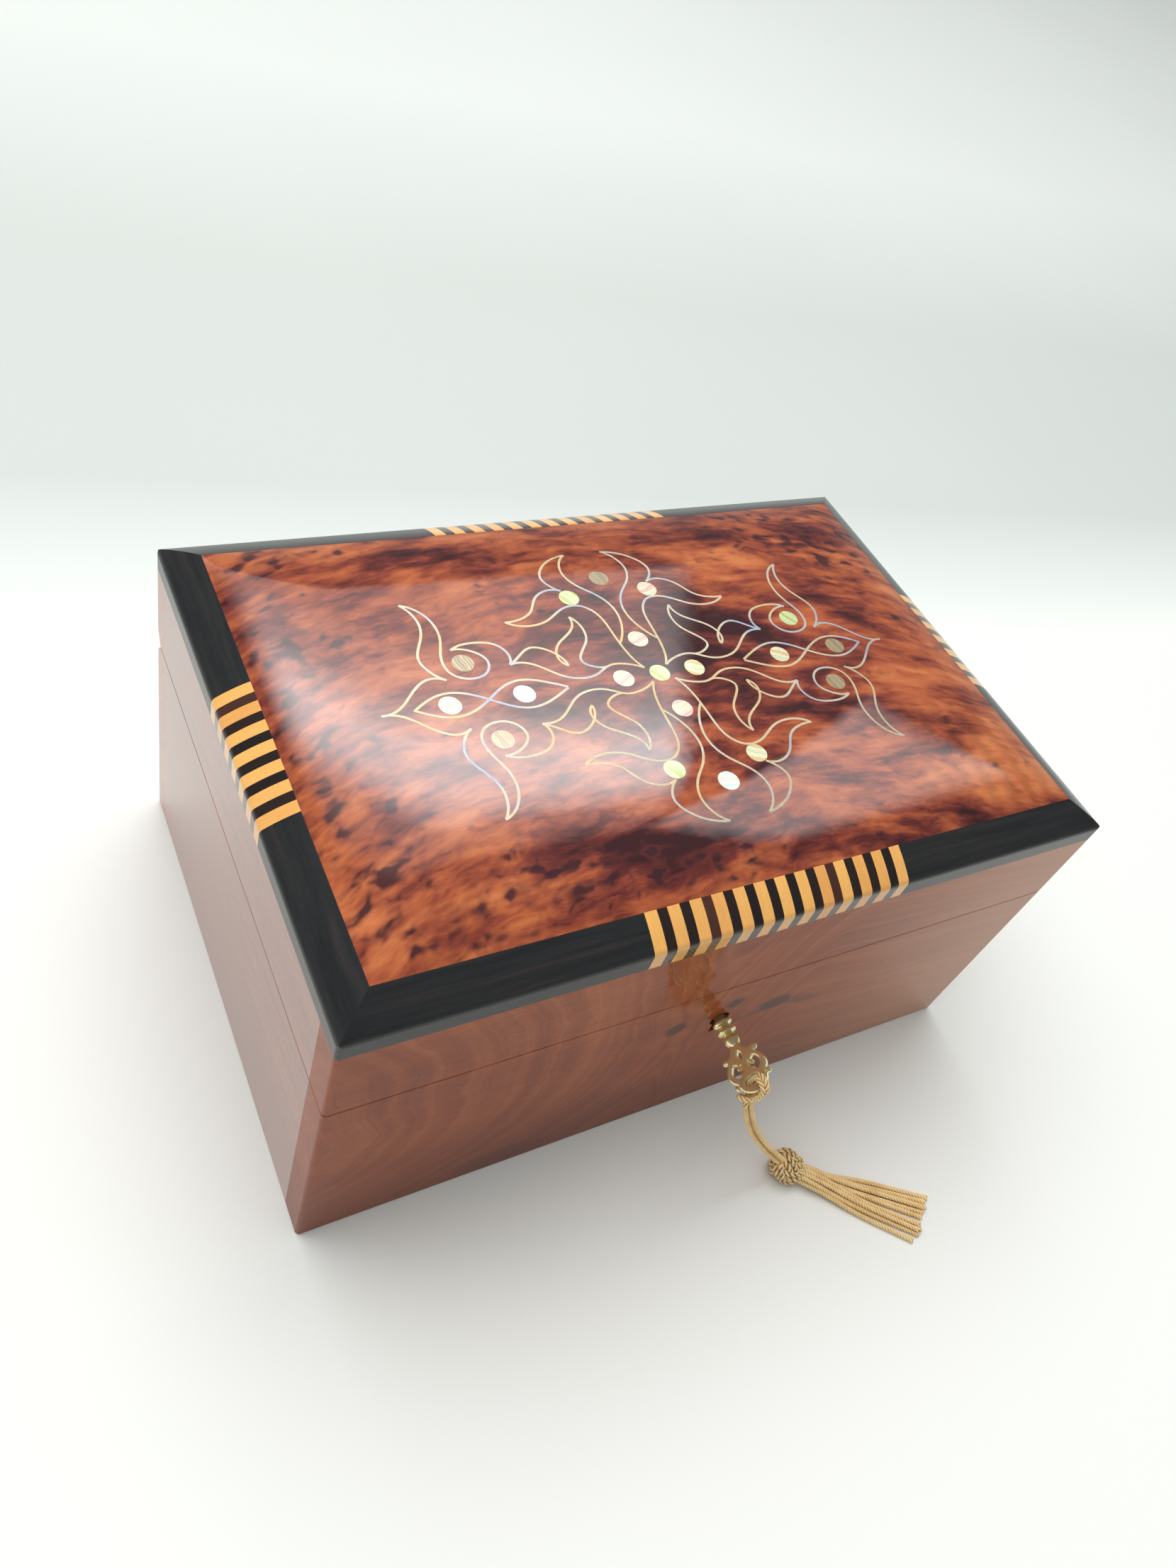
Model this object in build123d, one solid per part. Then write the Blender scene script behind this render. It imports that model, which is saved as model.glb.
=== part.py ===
"""Hinged jewellery chest in thuya wood, with a lock and key, a lift-out tray and a key tassel.

Millimetres, +Z up. The origin is the centre of the underside; +X runs along the chest to the
right of its front, and the front with the keyhole faces -Y.
"""
import os
from math import atan, cos, degrees, pi, radians, sin, tan

from build123d import *

os.makedirs("parts", exist_ok=True)

# ---------------------------------------------------------------- driving dimensions
LENGTH, DEPTH = 300, 200        # outside of the chest
SEAM_Z = 96                     # where the lid meets the case
BAND_Z = 131                    # underside of the ebony border
RIM_Z = 138.4                   # the border's outer arris, before it is rounded
CROWN_RISE = 11.3               # from that arris to the middle of the lid
CROWN_POWER = 6.23              # how quickly the crown flattens towards the middle
CROWN_FLAT = 65                 # the top is level further than this from an edge
BOARD = 12.5                    # thickness of the four walls
CORNER_RADIUS = 1.6             # upright corners
ARRIS_RUN = 1.2                 # width of the rounded arris, in plan
BASE_EDGE = 1.0                 # rounding round the underside
SEAM_EDGE = 0.35                # fine bevel on both sides of the seam
REBATE = 5                      # ledge that holds the base and the lid's panel
BASE_THICK = 6
PANEL_TONGUE_Z = 126            # underside of the lid's panel
BORDER = 12                     # width of the ebony border

STRIPE_LIGHT, STRIPE_DARK = 4.5, 3.7
STRIPES_LONG, STRIPES_SHORT = 13, 7     # light stripes on a long side and on a short side

WIRE_WIDTH, WIRE_DEPTH = 0.9, 0.7
PEARL_RADIUS, PEARL_DEPTH = 3.9, 1.2
INLAY_FOOT_Z = 139              # below the crown everywhere that the inlay lies

HINGE_Y = 95                    # the V groove's bottom, which is the hinge line
GROOVE_CASE, GROOVE_LID = 5.5, 9        # height of the groove's two bevels
HINGE_X = 92
HINGE_HALF, HINGE_MIDDLE = 18, 6        # half length of a hinge and of its middle knuckle
HINGE_LEAF = 1.0
HINGE_LEAF_Y = 89
KNUCKLE_RADIUS, HINGE_PIN_RADIUS = 1.7, 0.75
PIN_PLAY = 0.05                 # between a pin and the lid's knuckle
HINGE_SCREW_X = 12              # from the hinge's middle to each screw
HINGE_SCREW_Y = 91.2

KEY_Z = 72                      # height of the key's axis
KEY_TURN = 47                   # how far the bow leans from level, as the key stands in the lock
SHANK_RADIUS = 2.2
BOW_THICK = 3.0
BIT_REACH, BIT_THICK = 8.4, 2.2

LINER = 3                       # velvet-covered liner boards
LINER_FLOOR = 2
TRAY_Z, TRAY_TOP = 60, 91
TRAY_WALL = 4.5
TRAY_BASE = 2.5
TRAY_GAP = 0.9

CORD_RADIUS = 1.1

# ---------------------------------------------------------------- derived dimensions
HALF_X, HALF_Y = LENGTH / 2, DEPTH / 2
IN_X, IN_Y = HALF_X - BOARD, HALF_Y - BOARD
FRONT = -HALF_Y
TOP_Z = RIM_Z + CROWN_RISE


# ---------------------------------------------------------------- small helpers
def box(x0, x1, y0, y1, z0, z1):
    """A box by its limits."""
    return Pos((x0 + x1) / 2, (y0 + y1) / 2, (z0 + z1) / 2) * Box(x1 - x0, y1 - y0, z1 - z0)


def frontal(sketch, y_front, y_back):
    """A sketch drawn in X and Z, as seen from the front, made solid from y_back to y_front."""
    plane = Plane(origin=(0, y_back, 0), x_dir=(1, 0, 0), z_dir=(0, -1, 0))
    return extrude(plane * sketch, amount=y_back - y_front)


def endwise(sketch, x0, x1):
    """A sketch drawn in Y and Z, made solid from x0 to x1."""
    plane = Plane(origin=(x0, 0, 0), x_dir=(0, 1, 0), z_dir=(1, 0, 0))
    return extrude(plane * sketch, amount=x1 - x0)


def polygon(*points):
    """A flat face inside straight lines."""
    return make_face(Polyline(*points, close=True))


def rod_y(x, z, radius, y0, y1):
    """A cylinder along Y."""
    return frontal(Pos(x, z) * Circle(radius), y0, y1)


def rod_x(y, z, radius, x0, x1):
    """A cylinder along X."""
    return endwise(Pos(y, z) * Circle(radius), x0, x1)


def mirrored(shape, plane):
    """A shape and its mirror image."""
    return shape + mirror(shape, about=plane)


parts = {}


def keep(name, shape):
    """Store a sub-part under the name of its node."""
    parts[name] = shape


# ---------------------------------------------------------------- outer form
def crown_height(inset):
    """Height of the lid's top at a distance from the nearest edge."""
    left = 1 - min(inset, HALF_Y) / HALF_Y
    return RIM_Z + CROWN_RISE * (1 - left ** CROWN_POWER)


def crown_slope(inset):
    """Slope of the lid's top at a distance from the nearest edge."""
    left = 1 - min(inset, HALF_Y) / HALF_Y
    return CROWN_RISE * CROWN_POWER / HALF_Y * left ** (CROWN_POWER - 1)


def crown_profile(half):
    """The lid's section above the band: rounded arris, rising curve, level middle."""
    insets = (ARRIS_RUN, 5, 12, 20, 32, 48, CROWN_FLAT)
    start_z = crown_height(ARRIS_RUN)
    slope = crown_slope(ARRIS_RUN)
    arris_drop = ARRIS_RUN / tan(radians(90 - degrees(atan(slope))) / 2)
    rise = Spline(
        *[(half - s, crown_height(s)) for s in insets],
        tangents=[(-1, slope), (-1, 0)],
        tangent_scalars=[1, 1],
    )
    arris = TangentArc(
        (half, start_z - arris_drop), (half - ARRIS_RUN, start_z), tangent=(0, 1)
    )
    side = Line((half, BAND_Z), (half, start_z - arris_drop))
    level = crown_height(CROWN_FLAT)
    top = Line((half - CROWN_FLAT, level), (CROWN_FLAT - half, level))
    under = Line((-half, BAND_Z), (half, BAND_Z))
    right = side + arris + rise
    return make_face(right + mirror(right, about=Plane.YZ) + top + under)


def rounded_prism(z0, z1):
    """The chest's plan, with its rounded corners, between two heights."""
    plan = RectangleRounded(LENGTH, DEPTH, CORNER_RADIUS)
    return Pos(0, 0, z0) * extrude(plan, amount=z1 - z0)


def groove(height):
    """One bevel of the V groove along the back edge."""
    return endwise(
        polygon((HINGE_Y, SEAM_Z), (HALF_Y + 1, SEAM_Z), (HALF_Y + 1, SEAM_Z + height)),
        -HALF_X - 1,
        HALF_X + 1,
    )


groove_slope = 1 / (HALF_Y - HINGE_Y)
case_form = rounded_prism(0, SEAM_Z)
case_form = fillet(case_form.faces().sort_by(Axis.Z)[0].edges(), BASE_EDGE)
case_form = chamfer(case_form.faces().sort_by(Axis.Z)[-1].edges(), SEAM_EDGE)
case_form -= groove(-GROOVE_CASE * (HALF_Y + 1 - HINGE_Y) * groove_slope)

lid_form = rounded_prism(SEAM_Z, BAND_Z)
lid_form = chamfer(lid_form.faces().sort_by(Axis.Z)[0].edges(), SEAM_EDGE)
lid_form -= groove(GROOVE_LID * (HALF_Y + 1 - HINGE_Y) * groove_slope)

crown_long = frontal(crown_profile(HALF_X), -HALF_Y, HALF_Y)
crown_wide = endwise(crown_profile(HALF_Y), -HALF_X, HALF_X)
crown = crown_long & crown_wide & rounded_prism(BAND_Z, TOP_Z + 1)

# ---------------------------------------------------------------- the four walls of case and lid
WALLS = {
    "front": (-HALF_X, HALF_X, -HALF_Y, -IN_Y),
    "back": (-HALF_X, HALF_X, IN_Y, HALF_Y),
    "left": (-HALF_X, -IN_X, -IN_Y, IN_Y),
    "right": (IN_X, HALF_X, -IN_Y, IN_Y),
}
base_panel = box(-IN_X - REBATE, IN_X + REBATE, -IN_Y - REBATE, IN_Y + REBATE, 0, BASE_THICK)
tongue = box(
    -IN_X - REBATE, IN_X + REBATE, -IN_Y - REBATE, IN_Y + REBATE, PANEL_TONGUE_Z, BAND_Z
)
case_wall, lid_wall = {}, {}
for side, (x0, x1, y0, y1) in WALLS.items():
    case_wall[side] = case_form & box(x0, x1, y0, y1, 0, SEAM_Z)
    case_wall[side] -= base_panel
    lid_wall[side] = lid_form & box(x0, x1, y0, y1, SEAM_Z, BAND_Z)
    lid_wall[side] -= tongue

# ---------------------------------------------------------------- crowned panel and ebony border
FIELD_X, FIELD_Y = HALF_X - BORDER, HALF_Y - BORDER
panel = (crown & box(-FIELD_X, FIELD_X, -FIELD_Y, FIELD_Y, BAND_Z, TOP_Z + 1)) + tongue


def border_region(side):
    """The mitred plan of one border strip, as a tall prism."""
    long_strip = polygon(
        (-HALF_X, -HALF_Y), (HALF_X, -HALF_Y), (FIELD_X, -FIELD_Y), (-FIELD_X, -FIELD_Y)
    )
    short_strip = polygon(
        (-HALF_X, -HALF_Y), (-FIELD_X, -FIELD_Y), (-FIELD_X, FIELD_Y), (-HALF_X, HALF_Y)
    )
    plan = {
        "front": long_strip,
        "back": mirror(long_strip, about=Plane.XZ),
        "left": short_strip,
        "right": mirror(short_strip, about=Plane.YZ),
    }[side]
    return Pos(0, 0, BAND_Z) * extrude(plan, amount=TOP_Z - BAND_Z)


def stripe_boxes(side, light):
    """Slices across one border strip: the light stripes, or the dark ones between them."""
    along_x = side in ("front", "back")
    count = STRIPES_LONG if along_x else STRIPES_SHORT
    pitch = STRIPE_LIGHT + STRIPE_DARK
    width = STRIPE_LIGHT if light else STRIPE_DARK
    if not light:
        count -= 1
    slices = []
    for n in range(count):
        middle = (n - (count - 1) / 2) * pitch
        a, b = middle - width / 2, middle + width / 2
        if along_x:
            slices.append(box(a, b, -HALF_Y, HALF_Y, BAND_Z, TOP_Z))
        else:
            slices.append(box(-HALF_X, HALF_X, a, b, BAND_Z, TOP_Z))
    return slices


for side in WALLS:
    strip = crown & border_region(side)
    light = [strip & s for s in stripe_boxes(side, True)]
    dark = [strip & s for s in stripe_boxes(side, False)]
    span = (len(light) * STRIPE_LIGHT + len(dark) * STRIPE_DARK) / 2
    if side in ("front", "back"):
        middle = box(-span, span, -HALF_Y, HALF_Y, BAND_Z, TOP_Z)
    else:
        middle = box(-HALF_X, HALF_X, -span, span, BAND_Z, TOP_Z)
    keep(f"border_{side}", strip - middle)
    keep(f"light_stripes_{side}", Compound(children=light))
    keep(f"dark_stripes_{side}", Compound(children=dark))

# ---------------------------------------------------------------- inlay in the lid
# One quarter of the ornament: each stroke is one length of silver wire, drawn by the points that
# its curve passes through. The other three quarters are its mirror images.
LONG_ARM = (
    [(104.5, 0), (97, 2.2), (91, 8), (84.5, 12.3), (78, 11)],
    [(78, 11), (83, 17), (84, 21), (80.5, 29.5), (78, 36), (78.3, 42), (81.5, 48)],
    [(81.5, 48), (75.5, 43.5), (72.7, 36), (73.3, 29), (76.3, 20), (75, 13), (69, 10),
     (62.7, 12), (60.6, 17), (64, 22), (71.5, 24)],
    [(71.5, 24), (69, 25.3), (61, 26), (54.8, 23.8), (52.2, 19.5), (53.5, 13.8)],
    [(53.5, 13.8), (48, 17.6), (42.8, 20.3), (38, 18.8), (32.6, 9.6)],
    [(32.6, 9.6), (34.8, 14), (32.6, 19.3), (26.5, 24), (22.8, 27.5), (21.6, 32.6)],
    [(21.6, 32.6), (19.2, 27.5), (20, 21), (24.5, 15.3), (26.7, 10.6), (24.3, 7.9), (17.5, 6.9)],
    [(4.6, 3.4), (10.5, 6.4), (17.5, 6.9), (24, 3.7), (30.5, 3), (36, 4.8), (44.5, 12),
     (53.5, 13.8)],
    [(37.3, 0.2), (45, 4.2), (54, 6.3), (61, 4), (67, 0), (74, -4), (81, -5.3), (88, -3.2),
     (93.5, 0.2)],
)
SHORT_ARM = (
    [(8, 66), (15, 64), (21, 59.3), (23.4, 54), (21.8, 49.5), (18.6, 46.3)],
    [(8, 66), (12.2, 61.5), (13.7, 55), (11.2, 48.5), (5, 41.5), (1.9, 34), (2.6, 26.5), (8.2, 16.5)],
    [(18.6, 46.3), (25, 47.2), (30.6, 43.8), (35.5, 37), (40, 34.6), (46.8, 33.8)],
    [(46.8, 33.8), (38, 30.6), (31, 32), (21, 37.6), (14.5, 37.4), (10, 32.5), (8.6, 24),
     (8.2, 16.5), (4.6, 3.4)],
)
PEARLS = [(0, 0), (15, 0), (54, 0), (81, 0), (69.5, 17.5), (0, 17.5), (0, 51), (17, 42.3)]


def every_quarter(x, y):
    """A point and its distinct mirror images in both middle lines."""
    return sorted({(sx * x, sy * y) for sx in (-1, 1) for sy in (-1, 1)})


def skin(depth):
    """The uppermost layer of the lid's panel."""
    return panel - Pos(0, 0, -depth) * panel


pearl_columns = [
    Pos(x, y, INLAY_FOOT_Z) * extrude(Circle(PEARL_RADIUS), amount=TOP_Z - BAND_Z)
    for point in PEARLS
    for x, y in every_quarter(*point)
]
pearl_skin = skin(PEARL_DEPTH)
pearls = [pearl_skin & column for column in pearl_columns]

quarter = Sketch()
for stroke in LONG_ARM + SHORT_ARM:
    quarter += trace(Spline(*stroke), line_width=WIRE_WIDTH)
half_ornament = mirrored(quarter, Plane.XZ)
ornament = mirrored(half_ornament, Plane.YZ)
wire = skin(WIRE_DEPTH) & Pos(0, 0, INLAY_FOOT_Z) * extrude(ornament, amount=TOP_Z - BAND_Z)
for column in pearl_columns:
    wire -= column
panel -= wire
for pearl in pearls:
    panel -= pearl
keep("lid_panel", panel)
keep("silver_wire", wire)
keep("pearl_dots", Compound(children=pearls))

# ---------------------------------------------------------------- screws
SCREW_HEAD, SCREW_HEAD_DEPTH = 1.7, 0.9     # radius and depth of a countersunk head
SCREW_SHANK, SCREW_LENGTH = 0.8, 7
SLOT_WIDTH, SLOT_DEPTH = 0.5, 0.4


def screw(x, y, z, up):
    """A slotted countersunk screw with its head flush at a height, pointing up or down."""
    head = Cone(SCREW_SHANK, SCREW_HEAD, SCREW_HEAD_DEPTH, align=(Align.CENTER, Align.CENTER, Align.MAX))
    shank = Cylinder(SCREW_SHANK, SCREW_LENGTH, align=(Align.CENTER, Align.CENTER, Align.MAX))
    body = head + shank
    hole = body
    slot = Box(2 * SCREW_HEAD + 1, SLOT_WIDTH, 2 * SLOT_DEPTH)
    body -= slot
    turn = Rot(180, 0, 0) if up else Rot(0, 0, 0)
    place = Pos(x, y, z) * turn
    return place * body, place * hole


# ---------------------------------------------------------------- hinges
RELIEF = 0.3                    # clearance round a knuckle
relief_cuts = []
hinge_pins, case_screws, lid_screws = [], [], []
for name, centre in (("left", -HINGE_X), ("right", HINGE_X)):
    x0, x1 = centre - HINGE_HALF, centre + HINGE_HALF
    a, b = centre - HINGE_MIDDLE, centre + HINGE_MIDDLE
    gap = RELIEF / 2
    relief = rod_x(HINGE_Y, SEAM_Z, KNUCKLE_RADIUS + RELIEF, x0 - RELIEF, x1 + RELIEF)
    outer_relief = [
        rod_x(HINGE_Y, SEAM_Z, KNUCKLE_RADIUS + RELIEF, x0, a),
        rod_x(HINGE_Y, SEAM_Z, KNUCKLE_RADIUS + RELIEF, b, x1),
    ]
    middle_relief = rod_x(HINGE_Y, SEAM_Z, KNUCKLE_RADIUS + RELIEF, a - gap, b + gap)
    pin = rod_x(HINGE_Y, SEAM_Z, HINGE_PIN_RADIUS, x0, x1)
    case_leaf = box(x0, x1, HINGE_LEAF_Y, HINGE_Y, SEAM_Z - HINGE_LEAF, SEAM_Z) - middle_relief
    lid_leaf = box(x0, x1, HINGE_LEAF_Y, HINGE_Y, SEAM_Z, SEAM_Z + HINGE_LEAF)
    for cut in outer_relief:
        lid_leaf -= cut
    case_wall["back"] -= relief + box(x0, x1, HINGE_LEAF_Y, HINGE_Y, SEAM_Z - HINGE_LEAF, SEAM_Z)
    lid_wall["back"] -= relief + box(x0, x1, HINGE_LEAF_Y, HINGE_Y, SEAM_Z, SEAM_Z + HINGE_LEAF)
    case_leaf += rod_x(HINGE_Y, SEAM_Z, KNUCKLE_RADIUS, x0, a - gap)
    case_leaf += rod_x(HINGE_Y, SEAM_Z, KNUCKLE_RADIUS, b + gap, x1)
    lid_leaf += rod_x(HINGE_Y, SEAM_Z, KNUCKLE_RADIUS, a, b)
    case_leaf -= pin
    lid_leaf -= rod_x(HINGE_Y, SEAM_Z, HINGE_PIN_RADIUS + PIN_PLAY, a, b)
    for x in (centre - HINGE_SCREW_X, centre + HINGE_SCREW_X):
        body, hole = screw(x, HINGE_SCREW_Y, SEAM_Z, up=False)
        case_screws.append(body)
        case_leaf -= hole
        case_wall["back"] -= hole
        body, hole = screw(x, HINGE_SCREW_Y, SEAM_Z, up=True)
        lid_screws.append(body)
        lid_leaf -= hole
        lid_wall["back"] -= hole
    hinge_pins.append(pin)
    keep(f"hinge_{name}_case_leaf", case_leaf)
    keep(f"hinge_{name}_lid_leaf", lid_leaf)
keep("hinge_pins", Compound(children=hinge_pins))

# ---------------------------------------------------------------- lock, let into the front wall
LOCK_X0, LOCK_X1 = -31.5, 12.5  # the lock's case
LOCK_Z0 = 60.4
LOCK_PLATE = 0.8                # thickness of the case's sheet brass
RIM_PLATE = 1.2                 # lock's rim plate and the lid's strike plate
LOCK_FRONT = FRONT + 5.1        # front of the lock's case; 5 mm of wood stays before it
LOCK_BACK = -IN_Y               # the cap is flush with the wall's inner face
RIM_EAR = 6.5                   # how far the rim plate passes the case at each end
ARM_RADIUS = 29                 # reach of the locking arm
ARM_WIDTH, ARM_THICK = 5, 2.4
BEAK_LENGTH, BEAK_REACH = 3.2, 3    # along the arm, and out from its side
HUB_RADIUS = 10.6
KEY_PLAY = 0.3
RIM_OVERHANG = 0.9              # rim plate before the front of the lock's case
ARM_BACK_GAP = 1.4              # between the arm and the cap
SLOT_FRONT_GAP, SLOT_BACK_GAP = 1.3, 0.5    # round the arm, in the rim plate's slot
WOOD_KEYHOLE, CASE_KEYHOLE = (4, 3.2), (2.8, 3.0)   # radius of the hole, width of its slot
KEYHOLE_PLAY = 0.6              # below the bit
DRILL_PIN_RADIUS, DRILL_PIN_LENGTH = 0.8, 4.5
DRILL_PIN_HOLE = 0.95           # radius of the hub's hole round the pin
HUB_GAP, HUB_BACK_GAP, HUB_WEB = 0.25, 0.2, 1.1     # before and behind the hub; its back's thickness
LID_POCKET_X = (-23, 12.4)      # room in the lid for the arm's end
LID_POCKET_Z = 105
LID_POCKET_FRONT = 2.4          # before the slot

lock_top = SEAM_Z - RIM_PLATE
inner_front, inner_back = LOCK_FRONT + LOCK_PLATE, LOCK_BACK - LOCK_PLATE
arm_front = inner_back - ARM_BACK_GAP - ARM_THICK
rim_y0 = LOCK_FRONT - RIM_OVERHANG
slot_y0, slot_y1 = arm_front - SLOT_FRONT_GAP, arm_front + ARM_THICK + SLOT_BACK_GAP
slot_x0, slot_x1 = -21, 3.4

pocket = box(LOCK_X0, LOCK_X1, LOCK_FRONT, LOCK_BACK + 1, LOCK_Z0, lock_top)
rim_seat = box(LOCK_X0 - RIM_EAR, LOCK_X1 + RIM_EAR, rim_y0, LOCK_BACK + 1, lock_top, SEAM_Z)
rim_plate = box(LOCK_X0 - RIM_EAR, LOCK_X1 + RIM_EAR, rim_y0, LOCK_BACK, lock_top, SEAM_Z)
arm_slot = box(slot_x0, slot_x1, slot_y0, slot_y1, lock_top - 1, SEAM_Z + RIM_PLATE)
shell = box(LOCK_X0, LOCK_X1, LOCK_FRONT, inner_back, LOCK_Z0, lock_top)
cavity = box(
    LOCK_X0 + LOCK_PLATE, LOCK_X1 - LOCK_PLATE, inner_front, inner_back,
    LOCK_Z0 + LOCK_PLATE, lock_top,
)


def keyhole(radius, slot_width, reach):
    """A round hole with a slot hanging below it."""
    slot = Pos(0, KEY_Z - reach / 2) * Rectangle(slot_width, reach)
    return Pos(0, KEY_Z) * Circle(radius) + slot


keyhole_reach = BIT_REACH + KEYHOLE_PLAY
wood_keyhole = frontal(keyhole(*WOOD_KEYHOLE, keyhole_reach), FRONT - 1, LOCK_FRONT)
case_keyhole = frontal(keyhole(*CASE_KEYHOLE, keyhole_reach), LOCK_FRONT, inner_front)
case_wall["front"] -= pocket + rim_seat + wood_keyhole
lock_case = (shell - cavity) + rim_plate
lock_case -= arm_slot + case_keyhole

cap = box(LOCK_X0, LOCK_X1, inner_back, LOCK_BACK, LOCK_Z0, lock_top)
drill_pin = rod_y(0, KEY_Z, DRILL_PIN_RADIUS, inner_back - DRILL_PIN_LENGTH, inner_back)
lock_screws = []
rim_mid_y = (rim_y0 + LOCK_BACK) / 2
for x in (LOCK_X0 - RIM_EAR / 2, LOCK_X1 + RIM_EAR / 2):
    body, hole = screw(x, rim_mid_y, SEAM_Z, up=False)
    lock_screws.append(body)
    lock_case -= hole
    case_wall["front"] -= hole
keep("lock_case", lock_case)
keep("lock_cap", cap)
keep("drill_pin", drill_pin)

# The locking arm turns on the key's axis: level to the left when open, upright in the lid when
# locked. The beak fixed to its side then reaches past the slot's end and over the strike plate.
hub_front = inner_front + HUB_GAP
hub = rod_y(0, KEY_Z, HUB_RADIUS, hub_front, inner_back - HUB_BACK_GAP)
bit_slot = Pos(-(BIT_REACH + KEY_PLAY) / 2, 0) * Rectangle(BIT_REACH + KEY_PLAY, BIT_THICK + 2 * KEY_PLAY)
hub_socket = Circle(SHANK_RADIUS + KEY_PLAY) + bit_slot
hub -= frontal(Pos(0, KEY_Z) * Rot(0, 0, KEY_TURN) * hub_socket, hub_front - 1, inner_back - HUB_WEB)
hub -= rod_y(0, KEY_Z, DRILL_PIN_HOLE, hub_front, inner_back)
arm = Pos(-ARM_RADIUS / 2, 0) * Rectangle(ARM_RADIUS, ARM_WIDTH)
arm &= Circle(ARM_RADIUS)
arm -= Circle(HUB_RADIUS - 1)
locking_arm = hub + frontal(Pos(0, KEY_Z) * arm, arm_front, arm_front + ARM_THICK)
keep("locking_arm", locking_arm)
beak = Pos((BEAK_LENGTH - 2 * ARM_RADIUS) / 2, (ARM_WIDTH + BEAK_REACH) / 2) * Rectangle(
    BEAK_LENGTH, BEAK_REACH)
beak &= Circle(ARM_RADIUS)
keep("locking_beak", frontal(Pos(0, KEY_Z) * beak, arm_front, arm_front + ARM_THICK))

strike_top = SEAM_Z + RIM_PLATE
strike = box(LOCK_X0 - RIM_EAR, LOCK_X1 + RIM_EAR, rim_y0, LOCK_BACK, SEAM_Z, strike_top)
lid_wall["front"] -= strike + box(
    *LID_POCKET_X, slot_y0 - LID_POCKET_FRONT, slot_y1, strike_top, LID_POCKET_Z)
strike -= arm_slot
strike_screws = []
for x in (LOCK_X0 - RIM_EAR / 2, LOCK_X1 + RIM_EAR / 2):
    body, hole = screw(x, rim_mid_y, SEAM_Z, up=True)
    strike_screws.append(body)
    strike -= hole
    lid_wall["front"] -= hole
keep("strike_plate", strike)
keep("case_screws", Compound(children=case_screws + lock_screws))
keep("lid_screws", Compound(children=lid_screws + strike_screws))

for side in WALLS:
    keep(f"case_{side}", case_wall[side])
    keep(f"lid_{side}", lid_wall[side])
keep("base_panel", base_panel)

# ---------------------------------------------------------------- key
# Drawn with its bow level and its bit to the left, then turned about its own axis.
BOW_NECK, BOW_SPIKE, BOW_WAIST, BOW_LOBE, BOW_END = 11, 14.8, 24.4, 20.4, 29.6
BOW_HOLE = 25.3                 # middle of the opening that the cord goes through
CORD_OPENING = (3.7, 2.0)       # half width and half length of each opening in the bow
LOBE_OPENING, LOBE_X, LOBE_Y = (2.2, 2.9), 4.1, 20.2
NECK_OPENING, NECK_Y = (1.0, 1.7), 16.2
SHANK_BORE, BORE_DEPTH = 1.15, 5        # radius and depth of the bore for the drill pin
SHANK_GAP = 1.5                 # between the shank's end and the cap
COLLAR_RADIUS, COLLAR_HALF, COLLAR_EDGE = 3.7, 0.9, 0.7
COLLARS = (2.2, 5.4)            # middle of each collar, out of the front face
BALL_RADIUS, BALL_MIDDLE = 3.0, 9
BIT_ROOT = 1.4                  # inside the shank
WARD_CUT = (-6.4, -5.2)         # across the bit
WARD_END = 1.7                  # bit left behind the cut


def out(k):
    """A distance out of the front face, as a Y coordinate."""
    return FRONT - k


# The bow's outline is drawn by its corners and arcs: distance across, and distance out.
half_bow = (
    Polyline((0, out(BOW_NECK)), (1.7, out(BOW_NECK)), (2.3, out(13.2)), (6.2, out(BOW_SPIKE)),
             (5.4, out(16.4)))
    + ThreePointArc((5.4, out(16.4)), (7.8, out(BOW_LOBE)), (5.8, out(BOW_WAIST)))
    + ThreePointArc((5.8, out(BOW_WAIST)), (4.3, out(28.1)), (0, out(BOW_END)))
)
bow_face = make_face(half_bow + mirror(half_bow, about=Plane.YZ))
for x in (-LOBE_X, LOBE_X):
    bow_face -= Pos(x, out(LOBE_Y)) * Ellipse(*LOBE_OPENING)
bow_face -= Pos(0, out(NECK_Y)) * Ellipse(*NECK_OPENING)
bow_face -= Pos(0, out(BOW_HOLE)) * Ellipse(*CORD_OPENING)
bow = Pos(0, 0, -BOW_THICK / 2) * extrude(bow_face, amount=BOW_THICK)

shank_end = inner_back - SHANK_GAP
bore = rod_y(0, 0, SHANK_BORE, shank_end - BORE_DEPTH, shank_end)
shank = rod_y(0, 0, SHANK_RADIUS, out(BOW_NECK + 0.6), shank_end) - bore
collars = [rod_y(0, 0, COLLAR_RADIUS, out(k + COLLAR_HALF), out(k - COLLAR_HALF)) for k in COLLARS]
ball = Pos(0, out(BALL_MIDDLE), 0) * Sphere(BALL_RADIUS)
bit = box(-BIT_REACH, -BIT_ROOT, hub_front + KEY_PLAY, shank_end, -BIT_THICK / 2, BIT_THICK / 2)
bit -= bore
bit -= box(*WARD_CUT, hub_front - 1, shank_end - WARD_END, -BIT_THICK, BIT_THICK)
key = bow + shank + ball + bit
for collar in collars:
    key += fillet(collar.edges(), COLLAR_EDGE)
keep("key", Pos(0, 0, KEY_Z) * Rot(0, -KEY_TURN, 0) * key)

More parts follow.
